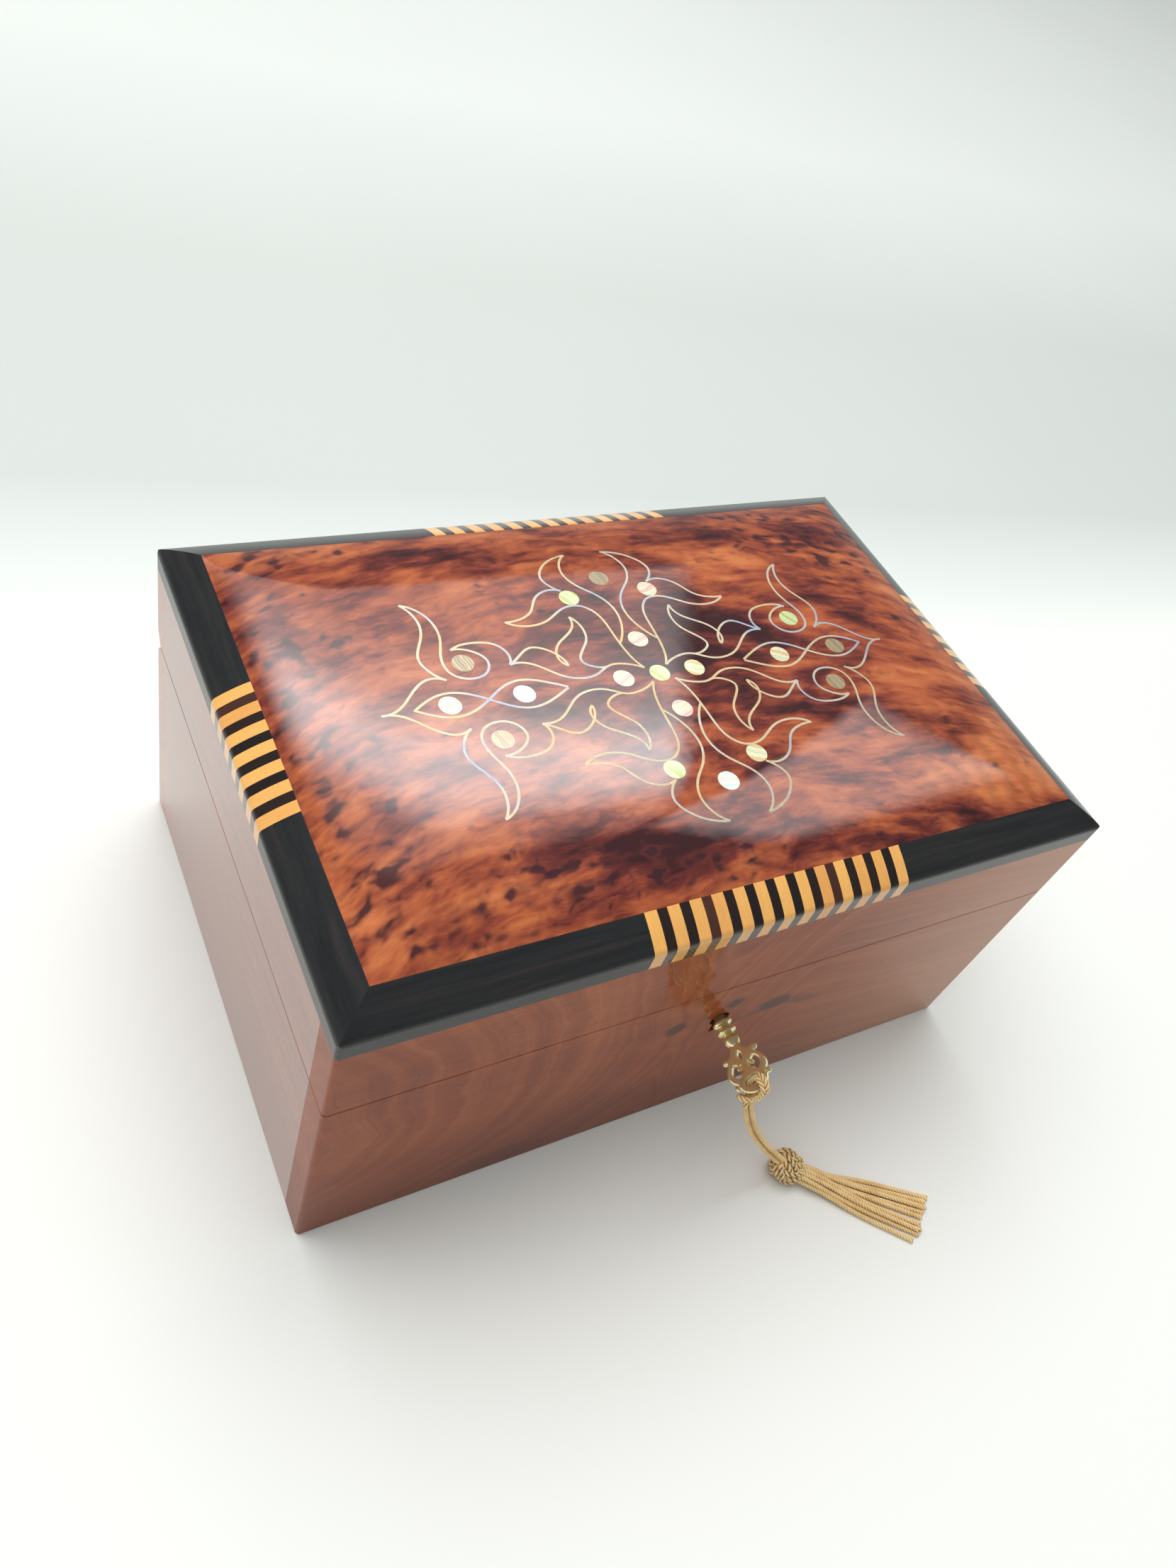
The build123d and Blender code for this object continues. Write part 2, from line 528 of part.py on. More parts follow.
# ---------------------------------------------------------------- tassel
# The cord's routes are laid out by hand, in whole runs, and rounded where the runs meet.
BOW_KNOT = (-0.2, out(27.9), KEY_Z - 8.1)
BIG_KNOT = (35.1, -142.6, 7.1)
BIG_KNOT_RADIUS = 7.0
BOW_KNOT_RADIUS, BOW_KNOT_SHAPE = 3.1, (1.75, 1.3, 1)
LOOP = [(0, out(27.2), 66.1), (0, out(25.0), 69.4), (0, out(25.0), 76.5), (0, out(31.2), 76.5),
        (0, out(31.2), 69.4), (0, out(29.2), 66.1)]
HANG = [(-0.2, -128.0, 62.7), (2.0, -128.9, 56.8), (6.2, -130.8, 46.6), (12.0, -133.2, 35.4),
        (19.4, -136.3, 25.0), (26.8, -139.4, 16.4), (32.0, -141.4, 10.8)]
CORD_SPREAD = (0.9, -0.2, 0.8)     # from the cord's middle line to each of its two strands
ARC_SHARE = 0.45                # how much of a run the arc at its end may take up


def cord_solid(name, points):
    """A round tube along straight runs joined by arcs as large as the runs allow."""
    vectors = [Vector(*p) for p in points]
    runs = [b - a for a, b in zip(vectors, vectors[1:])]
    radii = []
    for before, after in zip(runs, runs[1:]):
        turn = before.get_angle(after)
        shorter = min(before.length, after.length)
        radii.append(ARC_SHARE * shorter / tan(radians(turn) / 2))
    path = FilletPolyline(*points, radius=radii)
    start = Plane(origin=path @ 0, z_dir=path % 0)
    tube = sweep(start * Circle(CORD_RADIUS), path=path)
    ratio = tube.volume / (path.length * pi * CORD_RADIUS ** 2)
    print(name, "length", round(path.length, 1), "radii", [round(r, 1) for r in radii],
          "volume ratio", round(ratio, 4))
    keep(name, tube)


cord_solid("cord_loop", LOOP)
for name, sign in (("cord_right", 1), ("cord_left", -1)):
    shifted = [tuple(c + sign * d for c, d in zip(p, CORD_SPREAD)) for p in HANG]
    cord_solid(name, shifted)

keep("bow_knot", Pos(*BOW_KNOT) * scale(Sphere(BOW_KNOT_RADIUS), by=BOW_KNOT_SHAPE))
keep("tassel_knot", Pos(*BIG_KNOT) * Sphere(BIG_KNOT_RADIUS))

SKIRT_LENGTH = 59
SKIRT_HEADING = -39             # degrees from +X, across the surface that the chest stands on
skirt_sections = [
    # distance from the knot's middle, height of the middle, half width, half height
    (5.0, 6.6, 4.0, 3.4),
    (26.0, 3.4, 5.6, 2.9),
    (SKIRT_LENGTH, 1.9, 10.0, 1.8),
]
heading = Vector(cos(radians(SKIRT_HEADING)), sin(radians(SKIRT_HEADING)), 0)
faces = []
for reach, height, wide, tall in skirt_sections:
    middle = Vector(BIG_KNOT[0], BIG_KNOT[1], 0) + heading * reach + Vector(0, 0, height)
    plane = Plane(origin=middle, x_dir=heading.cross(Vector(0, 0, 1)), z_dir=heading)
    faces.append(plane * Ellipse(wide, tall))
keep("tassel_skirt", loft(Sketch() + faces) - Pos(*BIG_KNOT) * Sphere(BIG_KNOT_RADIUS))

# ---------------------------------------------------------------- lining
floor_top = BASE_THICK + LINER_FLOOR
keep("floor_liner", box(-IN_X, IN_X, -IN_Y, IN_Y, BASE_THICK, floor_top))
keep("liner_front", box(-IN_X, IN_X, -IN_Y, LINER - IN_Y, floor_top, TRAY_Z))
keep("liner_back", box(-IN_X, IN_X, IN_Y - LINER, IN_Y, floor_top, TRAY_Z))
keep("liner_left", box(-IN_X, LINER - IN_X, LINER - IN_Y, IN_Y - LINER, floor_top, TRAY_Z))
keep("liner_right", box(IN_X - LINER, IN_X, LINER - IN_Y, IN_Y - LINER, floor_top, TRAY_Z))
LID_PAD, LID_PAD_EDGE = 5, 3
lid_pad = box(-IN_X, IN_X, -IN_Y, IN_Y, PANEL_TONGUE_Z - LID_PAD, PANEL_TONGUE_Z)
keep("lid_pad", fillet(lid_pad.faces().sort_by(Axis.Z)[0].edges(), LID_PAD_EDGE))

# ---------------------------------------------------------------- lift-out tray
TRAY_X, TRAY_Y = IN_X - TRAY_GAP, IN_Y - TRAY_GAP
TRAY_FLOOR = TRAY_Z + TRAY_BASE
RING_X = -44                    # right end of the ring rolls
DIVIDER = 3
DIVIDER_TOP = TRAY_TOP - 3
LONG_DIVIDER_Y = -24
GRIP_RADIUS, GRIP_RAISE = 13, 3     # finger grips; their middle lies above the tray's top
RAIL_EDGE = 1.2
in_tx, in_ty = TRAY_X - TRAY_WALL, TRAY_Y - TRAY_WALL


def rail(x0, x1, y0, y1):
    """One wall of the tray, with its top edges rounded."""
    solid = box(x0, x1, y0, y1, TRAY_FLOOR, TRAY_TOP)
    long_axis = Axis.X if x1 - x0 > y1 - y0 else Axis.Y
    return fillet(solid.faces().sort_by(Axis.Z)[-1].edges().filter_by(long_axis), RAIL_EDGE)


keep("tray_base", box(-TRAY_X, TRAY_X, -TRAY_Y, TRAY_Y, TRAY_Z, TRAY_FLOOR))
keep("tray_front", rail(-TRAY_X, TRAY_X, -TRAY_Y, -in_ty))
keep("tray_back", rail(-TRAY_X, TRAY_X, in_ty, TRAY_Y))
grip = endwise(Pos(0, TRAY_TOP + GRIP_RAISE) * Circle(GRIP_RADIUS), -TRAY_X - 1, TRAY_X + 1)
keep("tray_left", rail(-TRAY_X, -in_tx, -in_ty, in_ty) - grip)
keep("tray_right", rail(in_tx, TRAY_X, -in_ty, in_ty) - grip)
keep("tray_ring_divider", box(RING_X, RING_X + DIVIDER, -in_ty, in_ty, TRAY_FLOOR, DIVIDER_TOP))
well_x0 = RING_X + DIVIDER
keep("tray_long_divider", box(
    well_x0, in_tx, LONG_DIVIDER_Y, LONG_DIVIDER_Y + DIVIDER, TRAY_FLOOR, DIVIDER_TOP))
BACK_WELLS = 3
back_y0 = LONG_DIVIDER_Y + DIVIDER
back_width = (in_tx - well_x0 - DIVIDER * (BACK_WELLS - 1)) / BACK_WELLS
wells = [(well_x0, in_tx, -in_ty, LONG_DIVIDER_Y)]
short_dividers = []
for n in range(BACK_WELLS):
    x0 = well_x0 + n * (back_width + DIVIDER)
    wells.append((x0, x0 + back_width, back_y0, in_ty))
    if n:
        short_dividers.append(box(x0 - DIVIDER, x0, back_y0, in_ty, TRAY_FLOOR, DIVIDER_TOP))
keep("tray_short_dividers", Compound(children=short_dividers))
PAD, PAD_GAP = 2.0, 0.2
keep("tray_pads", Compound(children=[
    box(x0 + PAD_GAP, x1 - PAD_GAP, y0 + PAD_GAP, y1 - PAD_GAP, TRAY_FLOOR, TRAY_FLOOR + PAD)
    for x0, x1, y0, y1 in wells
]))
for x0, x1, y0, y1 in wells:
    print("tray well", [round(v, 2) for v in (x0, x1, y0, y1, TRAY_FLOOR + PAD, DIVIDER_TOP)])

ROLLS = 9
ROLL_HEIGHT, ROLL_GAP, ROLL_EDGE = 20, 0.8, 7
ROLL_END_GAP = 0.3
roll_pitch = 2 * in_ty / ROLLS
rolls = []
for n in range(ROLLS):
    y0 = -in_ty + n * roll_pitch + ROLL_GAP / 2
    y1 = y0 + roll_pitch - ROLL_GAP
    roll = box(
        -in_tx + ROLL_END_GAP, RING_X - ROLL_END_GAP, y0, y1, TRAY_FLOOR, TRAY_FLOOR + ROLL_HEIGHT)
    rolls.append(fillet(roll.faces().sort_by(Axis.Z)[-1].edges().filter_by(Axis.X), ROLL_EDGE))
keep("ring_rolls", Compound(children=rolls))

# ---------------------------------------------------------------- write
for name, shape in parts.items():
    export_step(shape, f"parts/{name}.step")
print(len(parts), "nodes")
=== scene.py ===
"""Looks of the jewellery chest: materials, key, tassel, padded lining, light and camera.

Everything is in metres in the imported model's frame; the numbers of shapes and of textures are
written in millimetres and scaled by MM.
"""
import math

import bmesh
import bpy
from mathutils import Matrix, Vector, noise


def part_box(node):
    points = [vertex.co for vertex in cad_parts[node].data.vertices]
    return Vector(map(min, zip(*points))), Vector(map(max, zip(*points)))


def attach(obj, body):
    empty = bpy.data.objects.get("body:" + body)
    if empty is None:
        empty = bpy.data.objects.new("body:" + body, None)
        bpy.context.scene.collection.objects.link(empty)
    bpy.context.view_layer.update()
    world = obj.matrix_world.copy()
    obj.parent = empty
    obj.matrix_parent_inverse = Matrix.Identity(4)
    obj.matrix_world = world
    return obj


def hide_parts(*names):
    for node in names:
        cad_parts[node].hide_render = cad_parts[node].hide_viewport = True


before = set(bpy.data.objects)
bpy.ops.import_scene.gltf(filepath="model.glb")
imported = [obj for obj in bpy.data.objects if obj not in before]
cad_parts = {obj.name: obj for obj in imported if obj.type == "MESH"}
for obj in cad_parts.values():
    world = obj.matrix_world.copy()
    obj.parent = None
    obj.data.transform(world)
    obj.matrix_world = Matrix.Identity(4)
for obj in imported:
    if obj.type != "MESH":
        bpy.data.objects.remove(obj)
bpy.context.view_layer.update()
MM = 0.001


def mm(*values):
    """A point or size given in millimetres, in metres."""
    return Vector(values) * MM


def link(name, data):
    """A new object of that name in the scene."""
    item = bpy.data.objects.new(name, data)
    bpy.context.scene.collection.objects.link(item)
    return item


# ---------------------------------------------------------------- camera
CAMERA_PLACE = (-0.22276, -0.22905, 0.42055)
CAMERA_AIM = (0.4651, 0.50454, -0.72741)
CAMERA_RIGHT = (0.86771, -0.42262, 0.26167)
CAMERA_LENS = 26.8


def make_camera():
    """The photograph's camera: its place, aim, roll and lens."""
    data = bpy.data.cameras.new("camera")
    data.sensor_fit = "AUTO"
    data.sensor_width = 36
    data.lens = CAMERA_LENS
    data.clip_start = 0.01
    camera = link("camera", data)
    aim = Vector(CAMERA_AIM).normalized()
    right = Vector(CAMERA_RIGHT)
    right = (right - aim * right.dot(aim)).normalized()
    up = right.cross(aim)
    turn = Matrix((right, up, -aim)).transposed().to_4x4()
    camera.matrix_world = Matrix.Translation(CAMERA_PLACE) @ turn
    bpy.context.scene.camera = camera


make_camera()


# ---------------------------------------------------------------- material kit
def arithmetic(operation):
    """A method that adds a math node of that operation."""
    return lambda self, other: self.look.math(operation, self, other)


class Field:
    """A value that changes over a surface. Arithmetic with it adds nodes to its look."""

    __add__ = __radd__ = arithmetic("ADD")
    __sub__, __mul__ = arithmetic("SUBTRACT"), arithmetic("MULTIPLY")
    __truediv__, __pow__ = arithmetic("DIVIDE"), arithmetic("POWER")

    def __init__(self, look, socket):
        self.look, self.socket = look, socket


class Look:
    """A Principled material, and short calls that add nodes to it. Places and sizes are in mm."""

    def __init__(self, name, **shader):
        self.material = bpy.data.materials.new(name)
        self.material.use_nodes = True
        tree = self.material.node_tree
        self.nodes, self.links = tree.nodes, tree.links
        self.nodes.clear()
        self.shader = self.nodes.new("ShaderNodeBsdfPrincipled")
        self.out = self.nodes.new("ShaderNodeOutputMaterial").inputs[0]
        self.join(self.shader.outputs[0], self.out)
        self.coordinates = self.nodes.new("ShaderNodeTexCoord").outputs
        self.place = self.scale(self.coordinates["Object"], 1 / MM)
        self.set(**shader)

    def join(self, value, socket):
        if isinstance(value, Field):
            value = value.socket
        if isinstance(value, bpy.types.NodeSocket):
            self.links.new(value, socket)
        else:
            socket.default_value = value

    def feed(self, node, *values):
        """Join values to the node's first inputs, and give its first output."""
        for value, socket in zip(values, node.inputs):
            self.join(value, socket)
        return Field(self, node.outputs[0])

    def set(self, **values):
        """Join values to the shader's inputs."""
        for key, value in values.items():
            socket = self.shader.inputs[key.replace("_", " ")]
            if socket.type == "RGBA" and isinstance(value, tuple):
                value = (*value, 1)
            self.join(value, socket)

    def math(self, operation, *values):
        node = self.nodes.new("ShaderNodeMath")
        node.operation = operation
        return self.feed(node, *values)

    def vector(self, operation, *values):
        node = self.nodes.new("ShaderNodeVectorMath")
        node.operation = operation
        return self.feed(node, *((value,) * 3 if isinstance(value, float) else value for value in values))

    def dot(self, a, b):
        return Field(self, self.vector("DOT_PRODUCT", a, b).socket.node.outputs["Value"])

    def scale(self, vector, factor):
        result = self.vector("SCALE", vector)
        self.join(factor, result.socket.node.inputs["Scale"])
        return result

    def split(self, vector):
        node = self.nodes.new("ShaderNodeSeparateXYZ")
        self.join(vector, node.inputs[0])
        return [Field(self, socket) for socket in node.outputs]

    def merge(self, x, y, z):
        return self.feed(self.nodes.new("ShaderNodeCombineXYZ"), x, y, z)

    def noise(self, place, size, detail=3.0, roughness=0.55, color=False):
        node = self.nodes.new("ShaderNodeTexNoise")
        self.join(self.vector("DIVIDE", place, size), node.inputs["Vector"])
        for socket, value in (("Scale", 1.0), ("Detail", detail), ("Roughness", roughness)):
            self.join(value, node.inputs[socket])
        return Field(self, node.outputs["Color" if color else "Fac"])

    def wave(self, value):
        """A soft wave with one crest each time that the value grows by one."""
        return self.math("SINE", value * math.tau) * 0.5 + 0.5

    def smooth(self, value, low, high, to_low=0.0, to_high=1.0):
        """A soft step from one level to another as the value goes from low to high."""
        node = self.nodes.new("ShaderNodeMapRange")
        node.interpolation_type = "SMOOTHSTEP"
        return self.feed(node, value, low, high, to_low, to_high)

    def ramp(self, value, *stops):
        """A colour for each value, from (value, colour) stops."""
        node = self.nodes.new("ShaderNodeValToRGB")
        elements = node.color_ramp.elements
        elements[0].position, elements[1].position = stops[0][0], stops[-1][0]
        for place, color in stops[1:-1]:
            elements.new(place)
        for element, (place, color) in zip(elements, stops):
            element.color = (*color, 1)
        return self.feed(node, value)

    def mix(self, factor, color, other):
        """The colour, changed towards another one as the factor goes from 0 to 1."""
        node = self.nodes.new("ShaderNodeMix")
        node.data_type = "RGBA"
        self.join(factor, node.inputs["Factor"])
        for value, socket in zip((color, other), node.inputs[6:8]):
            self.join((*value, 1) if isinstance(value, tuple) else value, socket)
        return Field(self, node.outputs[2])

    def shade(self, color, value, low, high):
        """The colour, made darker or lighter as a value goes from 0 to 1."""
        return self.scale(color, value * (high - low) + low)

    def warp(self, place, size, amount):
        """The place, moved about by a noise of that size by up to about that amount."""
        moved = self.vector("SUBTRACT", self.noise(place, size, 2.0, color=True), 0.5)
        return self.vector("ADD", place, self.vector("MULTIPLY", moved, amount))

    def patch(self, place, x, y, half_x, half_y, degrees):
        """1 in the middle of an ellipse that lies on X and Y, falling softly to 0 at its rim."""
        c, s = math.cos(math.radians(degrees)), math.sin(math.radians(degrees))
        across = self.vector("SUBTRACT", place, (x, y, 0))
        long_way = self.dot(across, (c / half_x, s / half_x, 0))
        short_way = self.dot(across, (-s / half_y, c / half_y, 0))
        return self.smooth(long_way ** 2.0 + short_way ** 2.0, 1.0, 0.1)

    def patches(self, place, items):
        """The patches' strengths added up; an item is a patch's numbers and its strength."""
        return sum(self.patch(place, *numbers) * strength for *numbers, strength in items)

    def bump(self, height, distance):
        node = self.nodes.new("ShaderNodeBump")
        self.join(height, node.inputs["Height"])
        self.join(distance * MM, node.inputs["Distance"])
        self.join(1.0, node.inputs["Strength"])
        return Field(self, node.outputs[0])


def lacquer(look, roughness=0.03, weight=1.0, swell_height=0.05, index=1.5):
    """The gloss varnish over a wood."""
    look.set(Coat_Weight=weight, Coat_Roughness=roughness, Coat_IOR=index, Specular_IOR_Level=0.06)
    swell = look.noise(look.place, 17.0, 2.0)
    look.set(Coat_Normal=look.bump(swell, swell_height))


# ---------------------------------------------------------------- woods
def burl_look():
    """Thuya burl: orange-brown with maroon clouds along the length and clusters of small eyes."""
    look = Look("thuya_burl", Roughness=0.45)
    x, y, z = look.split(look.place)
    lie = look.merge(x, x * x * 0.0012 + y, 0.0)
    flow = look.warp(look.warp(lie, 55.0, (26.0, 18.0, 0.0)), 14.0, (5.0, 4.0, 0.0))
    cloud = look.noise(flow, (36.0, 15.0, 1.0), 4.0, 0.6)
    streak = look.noise(flow, (20.0, 5.0, 1.0), 4.0, 0.62)
    soft = look.warp(look.place, 22.0, (18.0, 14.0, 0.0))
    dark = look.patches(soft, (
        (5, 30, 70, 24, -4, 0.1), (36, 2, 44, 34, -25, 0.15), (-15, -5, 60, 30, 0, 0.1),
        (78, -38, 48, 16, -22, 0.13), (-45, -64, 42, 13, -12, 0.12), (66, -85, 55, 7, 0, 0.12),
        (48, 76, 34, 9, -24, 0.12), (-62, 74, 42, 8, 9, 0.1), (100, 62, 42, 14, -10, 0.06),
        (5, -62, 30, 16, 20, 0.1), (100, 20, 30, 10, -20, 0.06), (-34, -74, 34, 13, 4, 0.16),
    ))
    light = look.patches(soft, (
        (-118, 82, 40, 12, 6, 0.12), (-10, 84, 70, 9, 3, 0.1), (56, 56, 30, 10, -14, 0.13),
        (-128, -50, 16, 50, 0, 0.1), (-112, -76, 40, 16, -6, 0.1), (122, -68, 34, 26, 0, 0.16),
        (95, -74, 46, 14, 0, 0.1), (134, 0, 10, 90, 0, 0.08),
        (106, -34, 36, 20, 0, 0.05), (88, 48, 34, 12, -10, 0.12),
    ))
    color = look.ramp(
        cloud + streak * 0.6 + light - dark - 0.31,
        (0.26, (0.04, 0.01, 0.012)), (0.37, (0.12, 0.022, 0.018)),
        (0.47, (0.26, 0.054, 0.026)), (0.58, (0.41, 0.1, 0.036)),
        (0.76, (0.56, 0.175, 0.062)),
    )
    cluster = look.patches(look.warp(look.place, 24.0, (30.0, 24.0, 0.0)), (
        (-122, 40, 30, 66, 0, 0.9), (-122, -40, 26, 50, 0, 1.0), (-96, -70, 62, 24, -6, 1.2),
        (104, 62, 56, 30, -6, 1.0), (124, 30, 24, 60, 0, 0.6), (66, 84, 40, 12, 0, 0.9),
        (-24, -78, 46, 14, 0, 1.0), (60, -84, 60, 10, 0, 0.6), (-96, 80, 40, 14, 0, 0.8),
        (-60, -20, 50, 30, 0, 0.45), (-60, 40, 60, 24, 0, 0.4),
    ))
    swirl = look.warp(lie, 15.0, (10.0, 8.0, 0.0))
    group = look.noise(look.warp(lie, 30.0, (20.0, 14.0, 0.0)), (30.0, 15.0, 1.0), 3.0, 0.6)
    spot = look.noise(swirl, (7.4, 4.6, 1.0), 1.5, 0.5)
    level = spot * 0.56 + group * 0.44 + look.math("MINIMUM", cluster, 1.1) * 0.115
    color = look.mix(look.smooth(level, 0.54, 0.7, 0.0, 0.6), color, (0.135, 0.026, 0.022))
    color = look.mix(look.smooth(level, 0.645, 0.735, 0.0, 0.85), color, (0.032, 0.011, 0.016))
    ripple = look.wave(x * 0.11 + streak * 1.6)
    flame = look.patches(look.place, ((112, -62, 46, 40, 0, 1.0), (20, 70, 90, 24, 0, 0.5)))
    color = look.shade(color, ripple * flame, 1.0, 0.78)
    fibre = look.noise(flow, (7.0, 0.42, 1.0), 3.0, 0.6)
    color = look.shade(color, fibre, 0.84, 1.15)
    look.set(Base_Color=color, Normal=look.bump(fibre, 0.02))
    lacquer(look)
    return look.material


ARCH_HEIGHT = 68.0              # where the figured boards' arches point


def side_look(name, along, figured=False):
    """Straight-grained thuya. The grain runs along X or Y; a figured board has arched lines, painted shade
    towards its foot (strongest at its left end) and a painted reflection towards its right end.
    """
    look = Look(name, Roughness=0.42)
    x, y, z = look.split(look.place)
    run, depth = (x, y) if along == "X" else (y, x)
    place = look.warp(look.merge(run, z, depth), (70.0, 26.0, 26.0), (16.0, 7.0, 4.0))
    a, b, c = look.split(place)
    rings = b + a * 0.16 + c * 0.35
    if figured:
        height = b - ARCH_HEIGHT
        rise = look.math("MAXIMUM", height, 0.0) + look.math("MINIMUM", height, 0.0) * 1.9
        far = a + 230.0
        arch = look.math("SQRT", far * far + rise * rise) + c * 0.6
        rings = arch + (rings - arch) * look.smooth(x, -20.0, 40.0)
    band = look.noise(look.merge(rings / 5.5, a / 160.0, 0.0), 1.0, 4.0, 0.62)
    line = look.noise(look.merge(rings / 1.7, a / 120.0, 4.0), 1.0, 2.0, 0.5)
    tone = look.noise(place, (90.0, 24.0, 30.0), 3.0, 0.5)
    color = look.ramp(
        band * 0.62 + tone * 0.38,
        (0.28, (0.2, 0.04, 0.014)), (0.46, (0.31, 0.07, 0.021)),
        (0.58, (0.39, 0.098, 0.03)), (0.74, (0.48, 0.14, 0.046)),
    )
    color = look.mix(look.smooth(line, 0.4, 0.22, 0.0, 0.45), color, (0.11, 0.034, 0.026))
    pore = look.noise(look.merge(a / 9.0, b / 0.5, c / 0.5), 1.0, 2.0, 0.6)
    pore = look.smooth(pore, 0.3, 0.7)
    color = look.shade(color, pore, 0.86, 1.12)
    if figured:
        face = look.merge(x, z, 0.0)
        knots = look.patches(look.warp(face, 7.0, (5.0, 4.0, 0.0)), (
            (-20, 75, 6, 5, 20, 0.9), (26, 70, 9, 6, 0, 1.0), (3, 82, 6, 4, 0, 0.8),
            (40, 66, 16, 4, -18, 0.4), (12, 66, 14, 3, 8, 0.35), (-74, 8, 26, 10, 0, 0.5),
        ))
        color = look.mix(look.math("MINIMUM", knots, 0.8), color, (0.052, 0.026, 0.026))
        color = look.mix(look.patch(face, -146, 6, 44, 34, 30) * 0.5, color, (0.42, 0.12, 0.045))
        # Painted shade: darker and redder towards the foot and the left end, standing in for the shadowed
        # floor that the lower front reflects.
        deep = look.smooth(z, 78.0, 6.0, 0.0, 0.62) * look.smooth(x, 150.0, -60.0)
        color = look.scale(look.mix(deep, color, (0.15, 0.022, 0.008)), 0.92)
        # Painted reflection: paler towards the right end, as the bright floor on that side shows in the
        # varnish.
        color = look.mix(look.smooth(x, 10.0, 160.0, 0.0, 0.62), color, (0.62, 0.35, 0.23))
    if along == "Y":
        color = look.scale(color, 0.75)
    look.set(Base_Color=color, Normal=look.bump(pore, 0.03))
    lacquer(look, 0.02, 0.38 if figured else 1.0, 0.015, 1.8 if along == "Y" else 1.5)
    return look.material


def ebony_look(name, along):
    """Near-black wood with faint brown streaks along the strip."""
    look = Look(name, Roughness=0.4)
    turn = 1 if along == "X" else -1
    size = (60.0, 2.4)[::turn] + (8.0,)
    streak = look.noise(look.warp(look.place, 40.0, (4.0, 4.0, 0.0)), size, 4.0, 0.6)
    color = look.ramp(
        streak, (0.35, (0.017, 0.018, 0.019)), (0.55, (0.024, 0.024, 0.025)),
        (0.75, (0.04, 0.031, 0.028)),
    )
    grain = look.noise(look.place, (9.0, 0.3)[::turn] + (2.0,), 2.0)
    look.set(Base_Color=look.shade(color, grain, 0.75, 1.25), Normal=look.bump(grain, 0.02))
    lacquer(look, 0.05, 0.6)
    return look.material


STRIPE_PITCH = 8.2


def stripe_look(name, across, light):
    """One strip of stripes: each stripe has its own tone, and grain along its length."""
    look = Look(name, Roughness=0.42)
    x, y, z = look.split(look.place)
    step = x if across == "X" else y
    number = look.math("ROUND", step / STRIPE_PITCH + (0.0 if light else 0.5))
    tone = look.nodes.new("ShaderNodeTexWhiteNoise")
    tone.noise_dimensions = "2D"
    look.join(look.merge(number, 3.7 if light else 9.2, 0.0), tone.inputs["Vector"])
    tone = tone.outputs["Value"]
    size = (0.6, 14.0, 3.0) if across == "X" else (14.0, 0.6, 3.0)
    grain = look.noise(look.place, size, 3.0, 0.6)
    if light:
        colors, shades = ((0.86, 0.45, 0.125), (0.83, 0.42, 0.12), (0.78, 0.36, 0.1)), (0.8, 1.15)
    else:
        colors, shades = ((0.014, 0.011, 0.012), (0.024, 0.014, 0.012), (0.075, 0.028, 0.018)), (0.7, 1.3)
    color = look.shade(look.ramp(tone, *zip((0.0, 0.7, 1.0), colors)), grain, *shades)
    look.set(Base_Color=color, Normal=look.bump(grain, 0.02))
    lacquer(look, 0.04)
    return look.material


def satin_wood_look(name, size, colors):
    """Plain satin wood with straight grain; size is the grain's length along each axis."""
    look = Look(name, Roughness=0.38)
    place = look.warp(look.place, 45.0, (5.0, 5.0, 5.0))
    band = look.noise(place, size, 5.0, 0.6)
    color = look.ramp(band, *zip((0.3, 0.5, 0.7), colors))
    fine = look.noise(look.place, tuple(max(s * 0.14, 0.3) for s in size), 2.0)
    color = look.shade(color, fine, 0.82, 1.15)
    look.set(Base_Color=color, Normal=look.bump(fine, 0.06))
    look.set(Coat_Weight=0.35, Coat_Roughness=0.22)
    return look.material


# ---------------------------------------------------------------- metals and shell
def metal_look(name, color, roughness, tarnish, dent=0.05, metallic=1.0):
    """A polished metal with fine scratches and a slight change of tone."""
    look = Look(name, Metallic=metallic)
    cloud = look.noise(look.place, 5.0, 3.0)
    scratch = look.noise(look.place, (0.25, 3.0, 3.0), 3.0, 0.7)
    look.set(Base_Color=look.mix(look.smooth(cloud, 0.35, 0.75), color, tarnish))
    look.set(Roughness=scratch * roughness + roughness * 0.5)
    look.set(Normal=look.bump(scratch * 0.15 + cloud, dent))
    return look.material


def wire_look():
    """Silver wire rubbed level with the wood: warm in places and bluish in others."""
    look = Look("silver_wire", Metallic=1.0)
    tone = look.noise(look.place, 26.0, 2.0)
    blue, pale, warm = (0.44, 0.48, 0.56), (0.62, 0.58, 0.46), (0.66, 0.52, 0.3)
    color = look.ramp(tone, (0.36, blue), (0.46, pale), (0.62, warm))
    rub = look.noise(look.place, 1.3, 3.0, 0.7)
    look.set(Base_Color=look.shade(color, rub, 0.7, 1.2))
    look.set(Roughness=rub * 0.3 + 0.3, Normal=look.bump(rub, 0.12))
    return look.material


def pearl_look(name, colors, degrees):
    """Shell: bands of changing hue that cross the disc at an angle."""
    look = Look(name, Roughness=0.24)
    turn = math.radians(degrees)
    place = look.warp(look.place, 5.0, (2.2, 2.2, 0.0))
    across = look.dot(place, (math.cos(turn), math.sin(turn), 0.0))
    band, fine = look.wave(across * 0.17), look.wave(across * 0.9)
    color = look.shade(look.ramp(band, *zip((0.0, 0.5, 1.0), colors)), fine, 0.84, 1.1)
    look.set(Base_Color=color, Metallic=0.2, Specular_IOR_Level=0.35, Normal=look.bump(fine, 0.03))
    look.set(Coat_Weight=0.7, Coat_Roughness=0.04)
    return look.material


